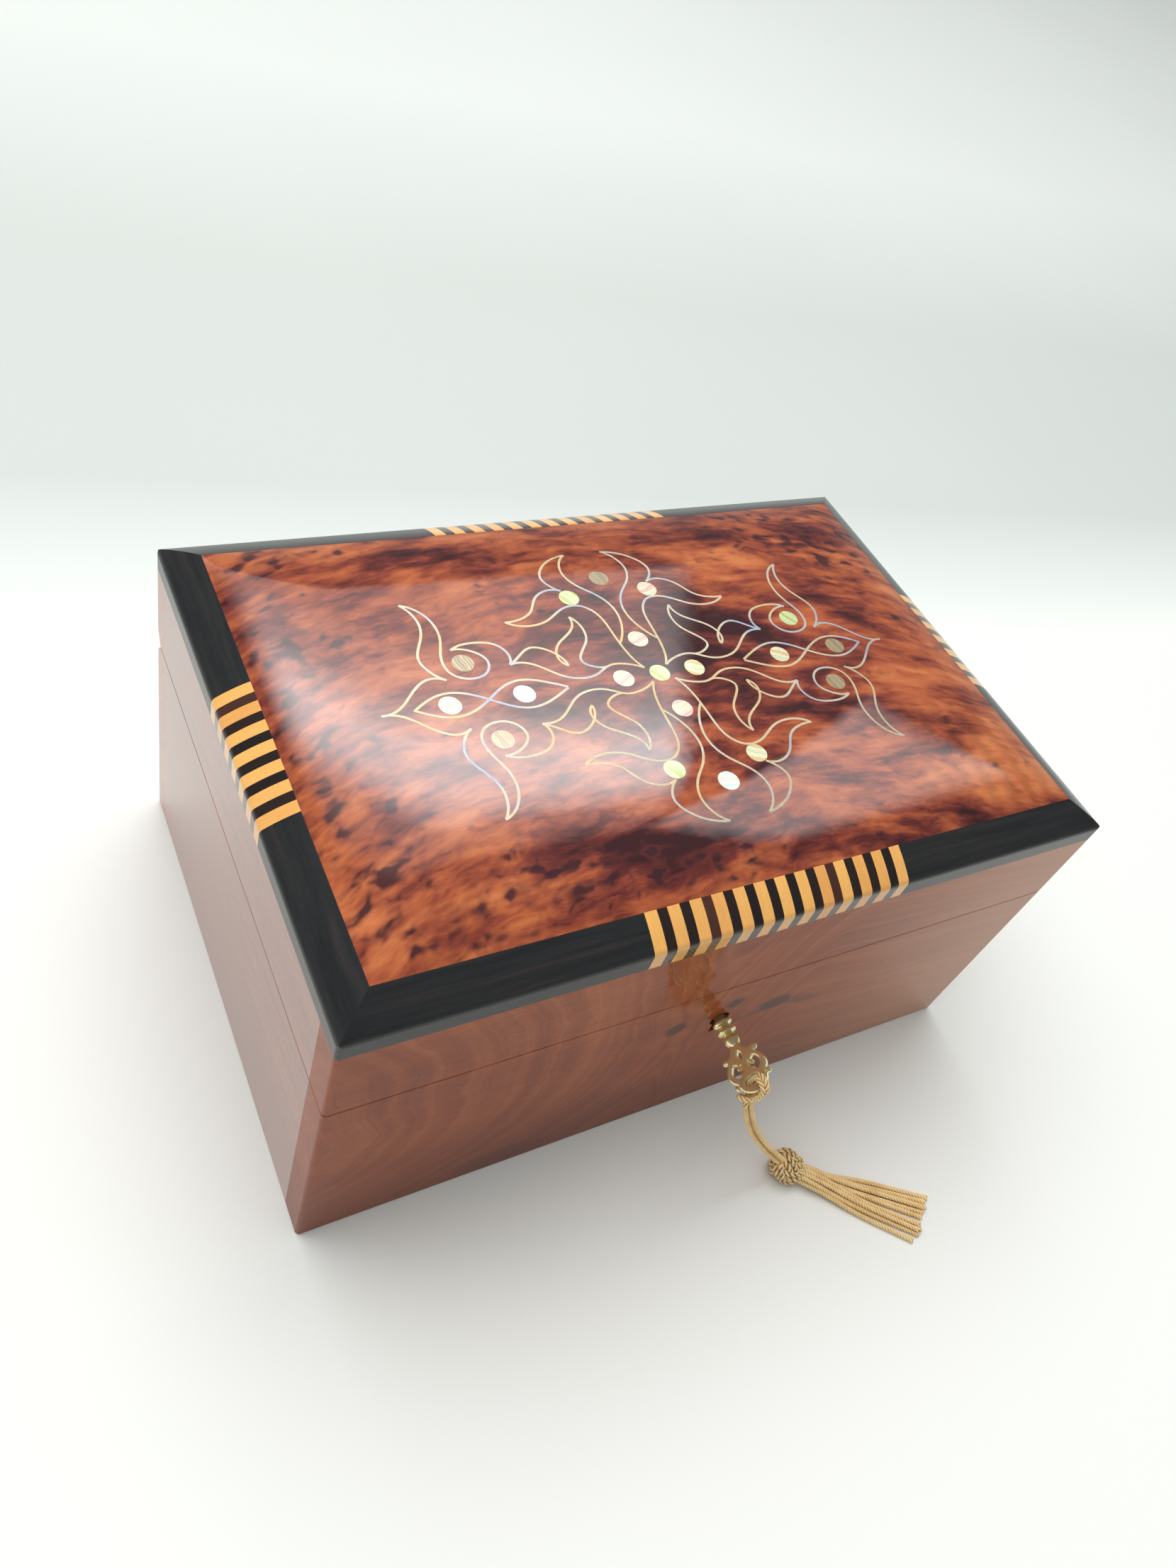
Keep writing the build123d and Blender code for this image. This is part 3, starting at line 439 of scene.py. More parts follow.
# ---------------------------------------------------------------- fabrics
def velvet_look():
    """Deep red velvet: a soft sheen and a nap that lies in patches."""
    look = Look("velvet", Roughness=0.9, Sheen_Weight=1.0, Sheen_Roughness=0.35)
    look.set(Sheen_Tint=(0.95, 0.28, 0.3), Specular_IOR_Level=0.15)
    nap = look.noise(look.place, 26.0, 4.0, 0.6)
    pile = look.noise(look.place, 0.35, 2.0, 0.7)
    color = look.ramp(nap, (0.35, (0.1, 0.006, 0.011)), (0.65, (0.19, 0.012, 0.02)))
    look.set(Base_Color=look.shade(color, pile, 0.7, 1.3))
    look.set(Normal=look.bump(nap * 2.0 + pile, 0.3))
    return look.material


def cord_look():
    """Golden rayon thread: fine filaments along each ply, painted shade between the plies, and lighter
    crests as a painted highlight.

    The UV map gives the distance along a strand, and how far outwards a point of its ply faces.
    """
    look = Look("cord_thread", Roughness=0.42, Sheen_Weight=0.45, Sheen_Roughness=0.4)
    look.set(Sheen_Tint=(1.0, 0.88, 0.62), Specular_IOR_Level=0.6)
    uv = look.coordinates["UV"]
    thread = look.noise(uv, (1.4, 0.05, 1.0), 2.0, 0.6)
    # Painted shade and highlight: darker where a ply faces inwards, between the plies, and lighter on its
    # crest.
    outward = look.smooth(look.split(uv)[1], 0.3, 0.85)
    tone = look.noise(look.place, 6.0, 2.0)
    color = look.ramp(tone, (0.35, (0.84, 0.555, 0.238)), (0.65, (0.92, 0.675, 0.335)))
    color = look.shade(look.shade(color, outward, 0.36, 1.14), thread, 0.76, 1.16)
    look.set(Base_Color=color, Normal=look.bump(thread, 0.1))
    return look.material


DARK_RED = (0.115, 0.035, 0.02), (0.19, 0.062, 0.034), (0.27, 0.1, 0.055)
looks = {
    "burl": burl_look(),
    "front": side_look("thuya_front", "X", figured=True),
    "back": side_look("thuya_back", "X"),
    "ends": side_look("thuya_ends", "Y"),
    "ebony_long": ebony_look("ebony_long", "X"),
    "ebony_short": ebony_look("ebony_short", "Y"),
    "light_long": stripe_look("lemonwood_long", "X", True),
    "light_short": stripe_look("lemonwood_short", "Y", True),
    "dark_long": stripe_look("dark_stripes_long", "X", False),
    "dark_short": stripe_look("dark_stripes_short", "Y", False),
    "base": satin_wood_look("base_wood", (90.0, 4.0, 4.0), DARK_RED),
    "tray_x": satin_wood_look("tray_wood_long", (90.0, 3.0, 3.0), DARK_RED),
    "tray_y": satin_wood_look("tray_wood_short", (3.0, 90.0, 3.0), DARK_RED),
    "wire": wire_look(),
    "brass": metal_look("brass", (0.82, 0.6, 0.27), 0.22, (0.62, 0.4, 0.16)),
    "steel": metal_look("lock_steel", (0.56, 0.55, 0.53), 0.34, (0.36, 0.33, 0.3)),
    "key": metal_look("key_brass", (1.0, 0.88, 0.5), 0.1, (0.9, 0.7, 0.32), 0.02, 0.82),
    "velvet": velvet_look(),
    "cord": cord_look(),
}
PEARL_TONES = {
    "green": (((0.42, 0.5, 0.2), (0.72, 0.74, 0.3), (0.5, 0.62, 0.4)), 30),
    "pink": (((0.7, 0.42, 0.36), (0.82, 0.7, 0.52), (0.62, 0.58, 0.4)), 110),
    "gold": (((0.66, 0.5, 0.26), (0.86, 0.78, 0.52), (0.6, 0.66, 0.44)), 60),
    "dull": (((0.3, 0.22, 0.13), (0.4, 0.32, 0.19), (0.34, 0.27, 0.15)), 10),
    # Pale shell with a painted highlight on it.
    "white_with_painted_highlight": (((0.8, 0.7, 0.62), (0.92, 0.9, 0.8), (0.62, 0.8, 0.66)), 75),
}
for tone, (colors, degrees) in PEARL_TONES.items():
    looks[f"pearl_{tone}"] = pearl_look(f"pearl_{tone}", colors, degrees)


# ---------------------------------------------------------------- materials of the CAD nodes
def wear(node, *names):
    """Give a CAD node its materials."""
    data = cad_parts[node].data
    data.materials.clear()
    for name in names:
        data.materials.append(looks[name])


for side in ("front", "back", "left", "right"):
    long_side = side in ("front", "back")
    for part in ("case", "lid"):
        wear(f"{part}_{side}", side if long_side else "ends")
    wear(f"border_{side}", "ebony_long" if long_side else "ebony_short")
    wear(f"light_stripes_{side}", "light_long" if long_side else "light_short")
    wear(f"dark_stripes_{side}", "dark_long" if long_side else "dark_short")
WORN = {
    "burl": ("lid_panel",),
    "base": ("base_panel",),
    "wire": ("silver_wire",),
    "tray_x": ("tray_base", "tray_front", "tray_back", "tray_long_divider"),
    "tray_y": ("tray_left", "tray_right", "tray_ring_divider", "tray_short_dividers"),
    "brass": (
        "hinge_left_case_leaf", "hinge_left_lid_leaf", "hinge_right_case_leaf",
        "hinge_right_lid_leaf", "hinge_pins", "lock_case", "lock_cap", "strike_plate",
        "case_screws", "lid_screws",
    ),
    "steel": ("locking_arm", "locking_beak", "drill_pin"),
}
for look, nodes in WORN.items():
    for node in nodes:
        wear(node, look)

# The shell discs, by the tone of each one. The white tone is the shell's pale colour with a painted
# highlight on it.
PEARL_PLACES = {
    "green": ((-17, 42.3), (69.5, 17.5), (-17, -42.3), (0, 0)),
    "gold": ((15, 0), (54, 0), (17, -42.3)),
    "pink": ((0, 17.5), (-81, 0), (17, 42.3), (-15, 0), (0, -17.5)),
    "dull": ((0, 51), (81, 0), (69.5, -17.5), (-69.5, -17.5), (-69.5, 17.5)),
    "white_with_painted_highlight": ((-54, 0), (0, -51)),
}


def paint_pearls():
    """Give each shell disc the tone of the place it lies at."""
    tones = list(PEARL_PLACES)
    wear("pearl_dots", *(f"pearl_{tone}" for tone in tones))
    places = [(mm(x, y), i) for i, t in enumerate(tones) for x, y in PEARL_PLACES[t]]
    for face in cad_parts["pearl_dots"].data.polygons:
        middle = face.center.xy
        face.material_index = min(places, key=lambda p: (p[0] - middle).length)[1]


paint_pearls()


# ---------------------------------------------------------------- mesh kit
def add_object(name, data, body, look, node=None):
    """An object that rides on a body, takes a material and may stand for a CAD node."""
    item = link(name, data)
    data.materials.append(looks[look])
    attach(item, body)
    if node:
        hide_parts(node)
    return item


def smooth_mesh(name, vertices, faces, uvs=None):
    """A smooth-shaded mesh; uvs are one per vertex."""
    data = bpy.data.meshes.new(name)
    data.from_pydata(vertices, [], faces)
    data.polygons.foreach_set("use_smooth", [True] * len(faces))
    if uvs:
        layer = data.uv_layers.new(name="UVMap")
        for loop in data.loops:
            layer.data[loop.index].uv = uvs[loop.vertex_index]
    data.update()
    return data


def curve_mesh(curve):
    """The mesh of a curve, which is then removed."""
    item = bpy.data.objects.new("curve", curve)
    data = bpy.data.meshes.new_from_object(item)
    bpy.data.objects.remove(item)
    bpy.data.curves.remove(curve)
    return data


def nurbs_points(points, steps=14):
    """Points read along a NURBS spline through that route, in metres."""
    curve = bpy.data.curves.new("route", "CURVE")
    curve.dimensions = "3D"
    spline = curve.splines.new("NURBS")
    spline.points.add(len(points) - 1)
    for point, place in zip(spline.points, points):
        point.co = (*(Vector(place) * MM), 1)
    spline.order_u = 3
    spline.use_endpoint_u = True
    spline.resolution_u = steps
    data = curve_mesh(curve)
    found = [v.co.copy() for v in data.vertices]
    bpy.data.meshes.remove(data)
    return found


def frames_along(points, cyclic=False):
    """Distance, place and two steady cross directions at each point of a line."""
    count = len(points)
    result, distance = [], 0.0
    side = None
    for i, point in enumerate(points):
        before = points[i - 1] if i or cyclic else point
        after = points[(i + 1) % count] if i < count - 1 or cyclic else point
        ahead = (after - before).normalized()
        if side is None:
            side = ahead.orthogonal().normalized()
        side = (side - ahead * side.dot(ahead)).normalized()
        if i:
            distance += (point - points[i - 1]).length
        result.append((distance, point, side, ahead.cross(side)))
    return result


def resample(points, step):
    """The same line with points a fixed step apart."""
    result, left = [points[0]], step
    for a, b in zip(points, points[1:]):
        length = (b - a).length
        while left <= length:
            result.append(a.lerp(b, left / length))
            left += step
        left -= length
    if (result[-1] - points[-1]).length > step * 0.3:
        result.append(points[-1])
    return result


PLY_SIDES = 8


def ply_tubes(line, radius, plies, lay, cyclic=False, phase=0.0, taper=None):
    """Vertices, faces and uvs of plies twisted round a line: radius over all, lay per turn."""
    ply_radius = radius * (0.5 if plies == 2 else 0.48)
    orbit = radius - ply_radius
    frames = frames_along(line, cyclic)
    total = frames[-1][0]
    turns = total / lay
    if cyclic:
        turns = round(turns)
    vertices, faces, uvs = [], [], []
    for ply in range(plies):
        base = len(vertices)
        centres = []
        for distance, point, side, over in frames:
            angle = math.tau * (turns * distance / max(total, 1e-9) + ply / plies) + phase
            size = taper(distance / total) if taper else 1.0
            centres.append(point + (side * math.cos(angle) + over * math.sin(angle)) * orbit * size)
        for i, (distance, point, side, over) in enumerate(frames):
            before = centres[max(i - 1, 0)]
            after = centres[min(i + 1, len(centres) - 1)]
            ahead = (after - before).normalized()
            outward = (centres[i] - point).normalized()
            outward = (outward - ahead * outward.dot(ahead)).normalized()
            across = ahead.cross(outward)
            size = taper(distance / total) if taper else 1.0
            for k in range(PLY_SIDES):
                turn = math.tau * k / PLY_SIDES
                way = outward * math.cos(turn) + across * math.sin(turn)
                vertices.append(centres[i] + way * ply_radius * size)
                uvs.append((distance / MM, 0.5 + 0.5 * math.cos(turn)))
        rows = len(frames) if cyclic else len(frames) - 1
        for i in range(rows):
            j = (i + 1) % len(frames)
            for k in range(PLY_SIDES):
                n = (k + 1) % PLY_SIDES
                faces.append((base + i * PLY_SIDES + k, base + i * PLY_SIDES + n,
                              base + j * PLY_SIDES + n, base + j * PLY_SIDES + k))
        if not cyclic:
            faces.append(tuple(base + k for k in reversed(range(PLY_SIDES))))
            last = base + (len(frames) - 1) * PLY_SIDES
            faces.append(tuple(last + k for k in range(PLY_SIDES)))
    return vertices, faces, uvs


def join_parts(parts):
    """Several sets of vertices, faces and uvs as one set."""
    vertices, faces, uvs = [], [], []
    for more, more_faces, more_uvs in parts:
        base = len(vertices)
        vertices += more
        faces += [tuple(base + i for i in face) for face in more_faces]
        uvs += more_uvs
    return vertices, faces, uvs


def spread(half, count, ease=1.7):
    """Places from -half to half that lie closer together towards both ends."""
    steps = [2 * i / count - 1 for i in range(count + 1)]
    return [math.copysign(half * (1 - (1 - abs(t)) ** ease), t) for t in steps]


def close_grid(vertices, columns, rows, foot):
    """The faces of a grid of points, row by row, with sides down to a flat bottom.

    The foot of the point in a column and row is a vertex of the bottom. The grid's own faces are first.
    """
    wide = columns + 1
    starts = [j * wide + i for j in range(rows) for i in range(columns)]
    faces = [(k, k + 1, k + 1 + wide, k + wide) for k in starts]
    rim = [(i, 0) for i in range(wide)] + [(columns, j) for j in range(1, rows + 1)]
    rim += [(i, rows) for i in reversed(range(columns))] + [(0, j) for j in reversed(range(1, rows))]
    base, count = len(vertices), len(rim)
    vertices += [foot(i, j) for i, j in rim]
    rim = [j * wide + i for i, j in rim]
    for n in range(count):
        m = (n + 1) % count
        faces.append((rim[n], base + n, base + m, rim[m]))
    faces.append(tuple(reversed(range(base, base + count))))
    return faces


# ---------------------------------------------------------------- crowned panel of the lid
LID_HALF = 150, 100             # half of the lid's length and depth
CROWN_TOP, CROWN_RISE, CROWN_POWER = 149.7, 11.3, 6.23
CORNER_BLEND = 3.0              # how sharp the crown's folds are; higher is sharper
BORDER, BAND_Z = 12, 131        # the ebony border's width, and the height that it starts at
PANEL_DROP = 0.03               # the inlay stands this much above the panel
PANEL_COLUMNS, PANEL_ROWS = 220, 150


def crown_drop(inset, panel_inset):
    """How far below the top the crown is at an inset, as a part of the drop at the panel's edge."""
    return ((1 - min(inset, 100) / 100) / (1 - panel_inset / 100)) ** CROWN_POWER


def add_lid_panel():
    """The burl panel, crowned, with folds that fade out away from its corners."""
    half_x, half_y = LID_HALF[0] - BORDER, LID_HALF[1] - BORDER
    drop = CROWN_RISE * (1 - BORDER / 100) ** CROWN_POWER
    xs, ys = spread(half_x, PANEL_COLUMNS), spread(half_y, PANEL_ROWS)
    vertices = []
    for y in ys:
        for x in xs:
            a = crown_drop(LID_HALF[0] - abs(x), BORDER) ** CORNER_BLEND
            b = crown_drop(LID_HALF[1] - abs(y), BORDER) ** CORNER_BLEND
            fall = max(a + b - a * b, 0.0) ** (1 / CORNER_BLEND)
            vertices.append(mm(x, y, CROWN_TOP - PANEL_DROP - drop * fall))
    faces = close_grid(vertices, PANEL_COLUMNS, PANEL_ROWS, lambda i, j: mm(xs[i], ys[j], BAND_Z))
    low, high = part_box("lid_panel")
    base = len(vertices)
    vertices += [Vector((x, y, z)) for z in (low[2], BAND_Z * MM)
                 for x, y in ((low[0], low[1]), (high[0], low[1]), (high[0], high[1]), (low[0], high[1]))]
    for loop in ((3, 2, 1, 0), (4, 5, 6, 7), (0, 1, 5, 4), (1, 2, 6, 5), (2, 3, 7, 6), (3, 0, 4, 7)):
        faces.append(tuple(base + i for i in loop))
    data = smooth_mesh("burl_panel", vertices, faces)
    crown = PANEL_COLUMNS * PANEL_ROWS
    data.polygons.foreach_set("use_smooth", [i < crown for i in range(len(faces))])
    add_object("burl_panel", data, "lid", "burl", "lid_panel")


add_lid_panel()

# ---------------------------------------------------------------- key
FRONT = -100                    # the front face, as a Y coordinate
KEY_Z, KEY_TURN = 72, 47
BOW_THICK, BOW_ROUND = 3.0, 0.7
BIT_REACH, BIT_ROOT, BIT_THICK, BIT_START, BIT_END = 8.4, 1.4, 2.2, -93.8, -89.0


def key_place(across, k, up=0.0):
    """A point of the key: across its bow, out of the front face, and up from the bow's flat."""
    turn = math.radians(KEY_TURN)
    return mm(
        across * math.cos(turn) - up * math.sin(turn), FRONT - k,
        KEY_Z + across * math.sin(turn) + up * math.cos(turn),
    )


def spline_ring(points, steps=6):
    """A closed smooth outline through points on the bow's flat."""
    count, ring = len(points), []
    for i in range(count):
        p0, p1, p2, p3 = (Vector(points[(i + d) % count]) for d in (-1, 0, 1, 2))
        for n in range(steps):
            t = n / steps
            ring.append(0.5 * (2 * p1 + (p2 - p0) * t + (2 * p0 - 5 * p1 + 4 * p2 - p3) * t * t
                               + (3 * p1 - p0 - 3 * p2 + p3) * t * t * t))
    return ring


def filled_plate(rings, thick, rounding):
    """A flat plate with openings and rounded rims, as a mesh that lies on XY."""
    curve = bpy.data.curves.new("plate", "CURVE")
    curve.dimensions, curve.fill_mode = "2D", "BOTH"
    curve.extrude = (thick / 2 - rounding) * MM
    curve.bevel_depth, curve.bevel_resolution = rounding * MM, 3
    curve.offset = -rounding * MM
    for ring in rings:
        spline = curve.splines.new("POLY")
        spline.points.add(len(ring) - 1)
        for point, (x, y) in zip(spline.points, ring):
            point.co = (x * MM, y * MM, 0, 1)
        spline.use_cyclic_u = True
    return curve_mesh(curve)


def mirror_points(points):
    """Points of a half outline, and their mirror images in reverse."""
    return points + [(-x, k) for x, k in reversed(points) if abs(x) > 0.01]


BOW_HALF = [(0, 10.4), (1.8, 10.9), (2.4, 12.6), (4.2, 14.2), (5.9, 14.4), (6.2, 15.4), (5.6, 16.4),
            (6.9, 18.0), (7.8, 20.4), (7.3, 22.6), (5.9, 24.3), (5.7, 25.6), (4.6, 27.6), (2.6, 29.0),
            (0, 29.6)]
LOBE_OPENING = [(1.5, 18.9), (2.3, 19.1), (3.1, 18.1), (4.2, 17.8), (5.2, 18.7), (5.7, 20.2), (5.2, 21.6),
                (4.0, 22.4), (2.9, 22.1), (2.7, 21.3), (1.6, 20.8)]
TOP_OPENING = [(0, 14.0), (0.7, 15.0), (0.65, 16.4), (0, 17.0), (-0.65, 16.4), (-0.7, 15.0)]
CORD_OPENING = [(0, 23.9), (2.2, 24.1), (3.3, 25.2), (2.3, 26.6), (0, 27.0), (-2.3, 26.6), (-3.3, 25.2),
                (-2.2, 24.1)]
BOW_KNOBS = ((6.1, 15.0, 1.25), (-6.1, 15.0, 1.25), (6.4, 24.9, 1.15), (-6.4, 24.9, 1.15), (0, 20.0, 1.2),
             (2.6, 19.3, 0.95), (-2.6, 19.3, 0.95))
# The turned part of the key: distance out of the front face, and radius.
KEY_PROFILE = (
    (-11.0, 1.9), (-10.7, 2.2), (0.4, 2.2), (1.2, 2.5), (1.35, 3.2), (1.75, 3.62), (2.2, 3.7), (2.65, 3.62),
    (3.05, 3.2), (3.25, 2.5), (3.8, 2.3), (4.35, 2.5), (4.55, 3.2), (4.95, 3.62), (5.4, 3.7), (5.85, 3.62),
    (6.25, 3.2), (6.4, 2.2), (6.7, 1.95), (6.95, 2.2), (7.4, 2.55), (8.1, 2.86), (9.0, 3.0), (9.9, 2.86),
    (10.7, 2.48), (11.3, 1.93), (11.8, 1.3), (12.2, 0.6), (12.3, 0.0),
)


def turned(profile, segments, place):
    """A body turned about an axis, from (distance, radius) pairs; place puts a point on the key."""
    vertices, faces = [], []
    for k, radius in profile:
        for n in range(segments):
            angle = math.tau * n / segments
            vertices.append(place(radius * math.cos(angle), k, radius * math.sin(angle)))
    for i in range(0, (len(profile) - 1) * segments, segments):
        for n in range(segments):
            m = (n + 1) % segments
            faces.append((i + n, i + m, i + segments + m, i + segments + n))
    faces.append(tuple(reversed(range(segments))))
    return vertices, faces


def add_ball(bm, centre, radius):
    ball = bmesh.ops.create_icosphere(bm, subdivisions=3, radius=radius)
    bmesh.ops.translate(bm, verts=ball["verts"], vec=centre)


def add_key():
    """The key: a turned shank with collars and ball, a bit, and a pierced bow with knobs."""
    bm = bmesh.new()
    bow_rings = [
        spline_ring(mirror_points(BOW_HALF)),
        spline_ring(LOBE_OPENING), spline_ring([(-x, k) for x, k in LOBE_OPENING]),
        spline_ring(TOP_OPENING), spline_ring(CORD_OPENING),
    ]
    plate = filled_plate(bow_rings, BOW_THICK, BOW_ROUND)
    for vertex in plate.vertices:
        x, k, up = vertex.co / MM
        vertex.co = key_place(x, k, up)
    bm.from_mesh(plate)
    bpy.data.meshes.remove(plate)
    for across, k, radius in BOW_KNOBS:
        add_ball(bm, key_place(across, k), radius * MM)
    vertices, faces = turned(KEY_PROFILE, 40, key_place)
    made = [bm.verts.new(v) for v in vertices]
    for face in faces:
        bm.faces.new([made[i] for i in face])
    bit = bmesh.ops.create_cube(bm, size=1.0)["verts"]
    middle, half = (BIT_END + BIT_START) / 2, (BIT_END - BIT_START) / 2
    for vertex in bit:
        x, y, z = (2 * c for c in vertex.co)
        across = -BIT_REACH if x < 0 else -BIT_ROOT
        vertex.co = key_place(across, FRONT - (middle + y * half), z * BIT_THICK / 2)
    bmesh.ops.bevel(bm, geom=[e for e in bm.edges if all(v in set(bit) for v in e.verts)],
                    offset=0.25 * MM, segments=2, affect="EDGES")
    bmesh.ops.recalc_face_normals(bm, faces=bm.faces)
    data = bpy.data.meshes.new("pierced_key")
    bm.to_mesh(data)
    bm.free()
    data.polygons.foreach_set("use_smooth", [True] * len(data.polygons))
    add_object("pierced_key", data, "key", "key", "key")


add_key()


# ---------------------------------------------------------------- cords and tassel
CORD_RADIUS = 1.1
LOOP = [(0, -127.2, 66.1), (0, -125.0, 69.4), (0, -125.0, 76.5), (0, -131.2, 76.5),
        (0, -131.2, 69.4), (0, -129.2, 66.1)]
HANG = [(-0.2, -128.0, 62.7), (2.0, -128.9, 56.8), (6.2, -130.8, 46.6), (12.0, -133.2, 35.4),
        (19.4, -136.3, 25.0), (26.8, -139.4, 16.4), (32.0, -141.4, 10.8)]
CORD_SPREAD = Vector((0.8, -0.18, 0.71))
BIG_KNOT, BOW_KNOT = Vector((35.1, -142.6, 7.1)), Vector((-0.2, -127.9, 63.9))
CORD_LAY = 4.8                  # length of one turn of the three plies
CORD_STEP = 0.34                # distance between the rings of points of a ply
LOOP_RADIUS, LOOP_LAY, LOOP_ASIDE = 0.98, 5.6, 0.95
BOW_KNOT_LAY, BOW_KNOT_SIZE = 5.0, (4.3, 1.5, 2.9)


def length_of(line):
    return sum((b - a).length for a, b in zip(line, line[1:]))


def add_strands(name, parts, node=None):
    """A piece of twisted cord on the tassel, which may stand for a CAD node."""
    return add_object(name, smooth_mesh(name, *parts), "tassel", "cord", node)


def add_loop():
    """The doubled cord that goes through the bow's end opening."""
    turn = math.radians(KEY_TURN)
    aside = Vector((math.cos(turn), 0, math.sin(turn))) * LOOP_ASIDE
    parts = []
    for sign in (1, -1):
        line = resample(nurbs_points([Vector(p) + aside * sign for p in LOOP]), CORD_STEP * MM)
        parts.append(ply_tubes(line, LOOP_RADIUS * MM, 3, LOOP_LAY * MM * sign, phase=sign))
    return add_strands("loop_strands", join_parts(parts), "cord_loop")


def overhand_line(centre, scale, steps=150):
    """A closed line that ties an overhand knot: scale gives its half width, depth and height."""
    line = []
    for i in range(steps):
        t = math.tau * i / steps
        x, z, y = math.sin(t) + 2 * math.sin(2 * t), math.cos(t) - 2 * math.cos(2 * t), -math.sin(3 * t)
        line.append(centre + mm(x * scale[0] / 3, y * scale[1], z * scale[2] / 3))
    return line


def add_bow_knot():
    """The small overhand knot below the bow."""
    line = overhand_line(BOW_KNOT * MM + mm(0.2, 0, -0.2), BOW_KNOT_SIZE)
    parts = ply_tubes(line, CORD_RADIUS * MM, 3, BOW_KNOT_LAY * MM, cyclic=True)
    return add_strands("overhand_knot", parts, "bow_knot")


# The round knot: leads and bights of its weave, the passes of the cord side by side and how far
# apart they lie, the radius that the cord winds at and its own, and the ball inside.
KNOT_LEADS, KNOT_BIGHTS, KNOT_PASSES, KNOT_PITCH = 3, 5, 2, 2.45
KNOT_REACH, KNOT_WEAVE, KNOT_LATITUDE = 5.45, 0.75, 1.12
KNOT_CORD, KNOT_LAY, KNOT_CORE, KNOT_STEPS = 1.22, 4.4, 4.9, 260


def add_big_knot():
    """The round knot: a woven band of three leads and five bights, each passed twice."""
    axis = Vector((0.7, -0.62, -0.34)).normalized()
    side = axis.orthogonal().normalized()
    over = axis.cross(side)
    parts = []

    def middle(t):
        latitude = KNOT_LATITUDE * math.cos(KNOT_BIGHTS * t)
        reach = KNOT_REACH + KNOT_WEAVE * math.sin(2 * KNOT_BIGHTS * t)
        spin = KNOT_LEADS * t
        flat = side * math.cos(spin) + over * math.sin(spin)
        return (flat * math.cos(latitude) + axis * math.sin(latitude)) * reach

    for lane in range(KNOT_PASSES):
        shift = (lane - (KNOT_PASSES - 1) / 2) * KNOT_PITCH
        line = []
        for i in range(KNOT_STEPS):
            t = math.tau * i / KNOT_STEPS
            here = middle(t)
            ahead = (middle(t + 0.01) - here).normalized()
            spot = here + ahead.cross(here.normalized()).normalized() * shift
            line.append((BIG_KNOT + spot.normalized() * here.length) * MM)
        parts.append(ply_tubes(line, KNOT_CORD * MM, 2, KNOT_LAY * MM, cyclic=True, phase=lane))
    # The ball's UVs are all zero, so the cord's look gives it the painted shade of the hollows between
    # plies.
    core = bmesh.new()
    bmesh.ops.create_icosphere(core, subdivisions=3, radius=KNOT_CORE * MM)
    ball = [BIG_KNOT * MM + v.co for v in core.verts]
    parts.append((ball, [tuple(v.index for v in f.verts) for f in core.faces], [(0.0, 0.0)] * len(ball)))
    core.free()
    return add_strands("round_knot", join_parts(parts), "tassel_knot")


on_cord = [add_loop(), add_bow_knot(), add_big_knot()]
for node, sign in (("cord_right", 1), ("cord_left", -1)):
    line = resample(nurbs_points([Vector(p) + CORD_SPREAD * sign for p in HANG]), CORD_STEP * MM)
    parts = ply_tubes(line, CORD_RADIUS * MM, 3, CORD_LAY * MM * sign, phase=0.5 + sign)
    add_strands(f"{node}_strands", parts, node)
    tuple(line[0])
    length_of(line)
    [tuple(p) for p in line]

# The skirt's strands: how far aside and how high each one starts, and how far aside, how high
# and how far out it ends.
SKIRT_HEADING = -39
SKIRT = (
    (-3.6, 4.6, -9.6, 1.1, 57.0), (-2.7, 6.6, -6.4, 1.1, 59.5), (-1.5, 4.4, -4.2, 1.1, 60.5),
    (-0.9, 7.2, -5.3, 3.0, 58.8), (-0.2, 5.4, -2.2, 1.2, 60.0), (0.6, 7.9, -3.1, 3.0, 59.0),
    (1.0, 4.4, 1.2, 1.1, 60.5), (1.5, 6.4, 3.4, 1.2, 61.0), (2.1, 8.2, 5.0, 2.6, 61.5),
    (2.4, 4.8, 6.2, 1.1, 62.0), (3.1, 6.9, 8.2, 1.3, 61.6), (3.7, 5.2, 10.2, 1.1, 62.6),
)
STRAND_RADIUS, STRAND_LAY = 1.0, 3.9
FRAY, FRAY_START = 0.22, 0.955  # how much the ends swell, and where that starts


def add_skirt():
    """The skirt: bare twisted strands that fan out over the surface the chest stands on."""
    heading = math.radians(SKIRT_HEADING)
    along = Vector((math.cos(heading), math.sin(heading), 0))
    aside = Vector((-math.sin(heading), math.cos(heading), 0))
    ground = Vector((BIG_KNOT.x, BIG_KNOT.y, 0))

    def spot(reach, shift, height):
        return ground + along * reach + aside * shift + Vector((0, 0, height))

    for n, (start_aside, start_high, end_aside, end_high, end) in enumerate(SKIRT):
        sway = math.sin(n * 2.4) * 0.5
        low = max(end_high, STRAND_RADIUS + 0.2)
        route = [
            spot(5.8, start_aside * 0.8, start_high), spot(11.0, start_aside * 1.0, start_high * 0.94),
            spot(19.0, start_aside * 1.12, start_high * 0.5 + low * 0.42),
            spot(30.0, start_aside * 0.62 + end_aside * 0.42 + sway, low + 0.35),
            spot(43.0, start_aside * 0.25 + end_aside * 0.75 + sway * 0.6, low),
            spot(end, end_aside, low),
        ]
        line = resample(nurbs_points(route), CORD_STEP * MM)
        parts = ply_tubes(
            line, STRAND_RADIUS * MM, 3, STRAND_LAY * MM, phase=n * 1.7,
            taper=lambda t: 1.0 + FRAY * max(0.0, (t - FRAY_START) / (1 - FRAY_START)),
        )
        add_strands(f"skirt_strand_{n + 1}", parts, None if n else "tassel_skirt")
        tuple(line[0])
        length_of(line)
        [tuple(p) for p in line]


add_skirt()


# ---------------------------------------------------------------- padded lining
EDGE_DRAW = 0.006               # how far a padded block's ends are drawn in, as a part of its length
EDGE_LEVEL = 0.35               # how high its edges start, as a part of its depth
RIPPLE, RIPPLE_SCALE = 0.01, 90


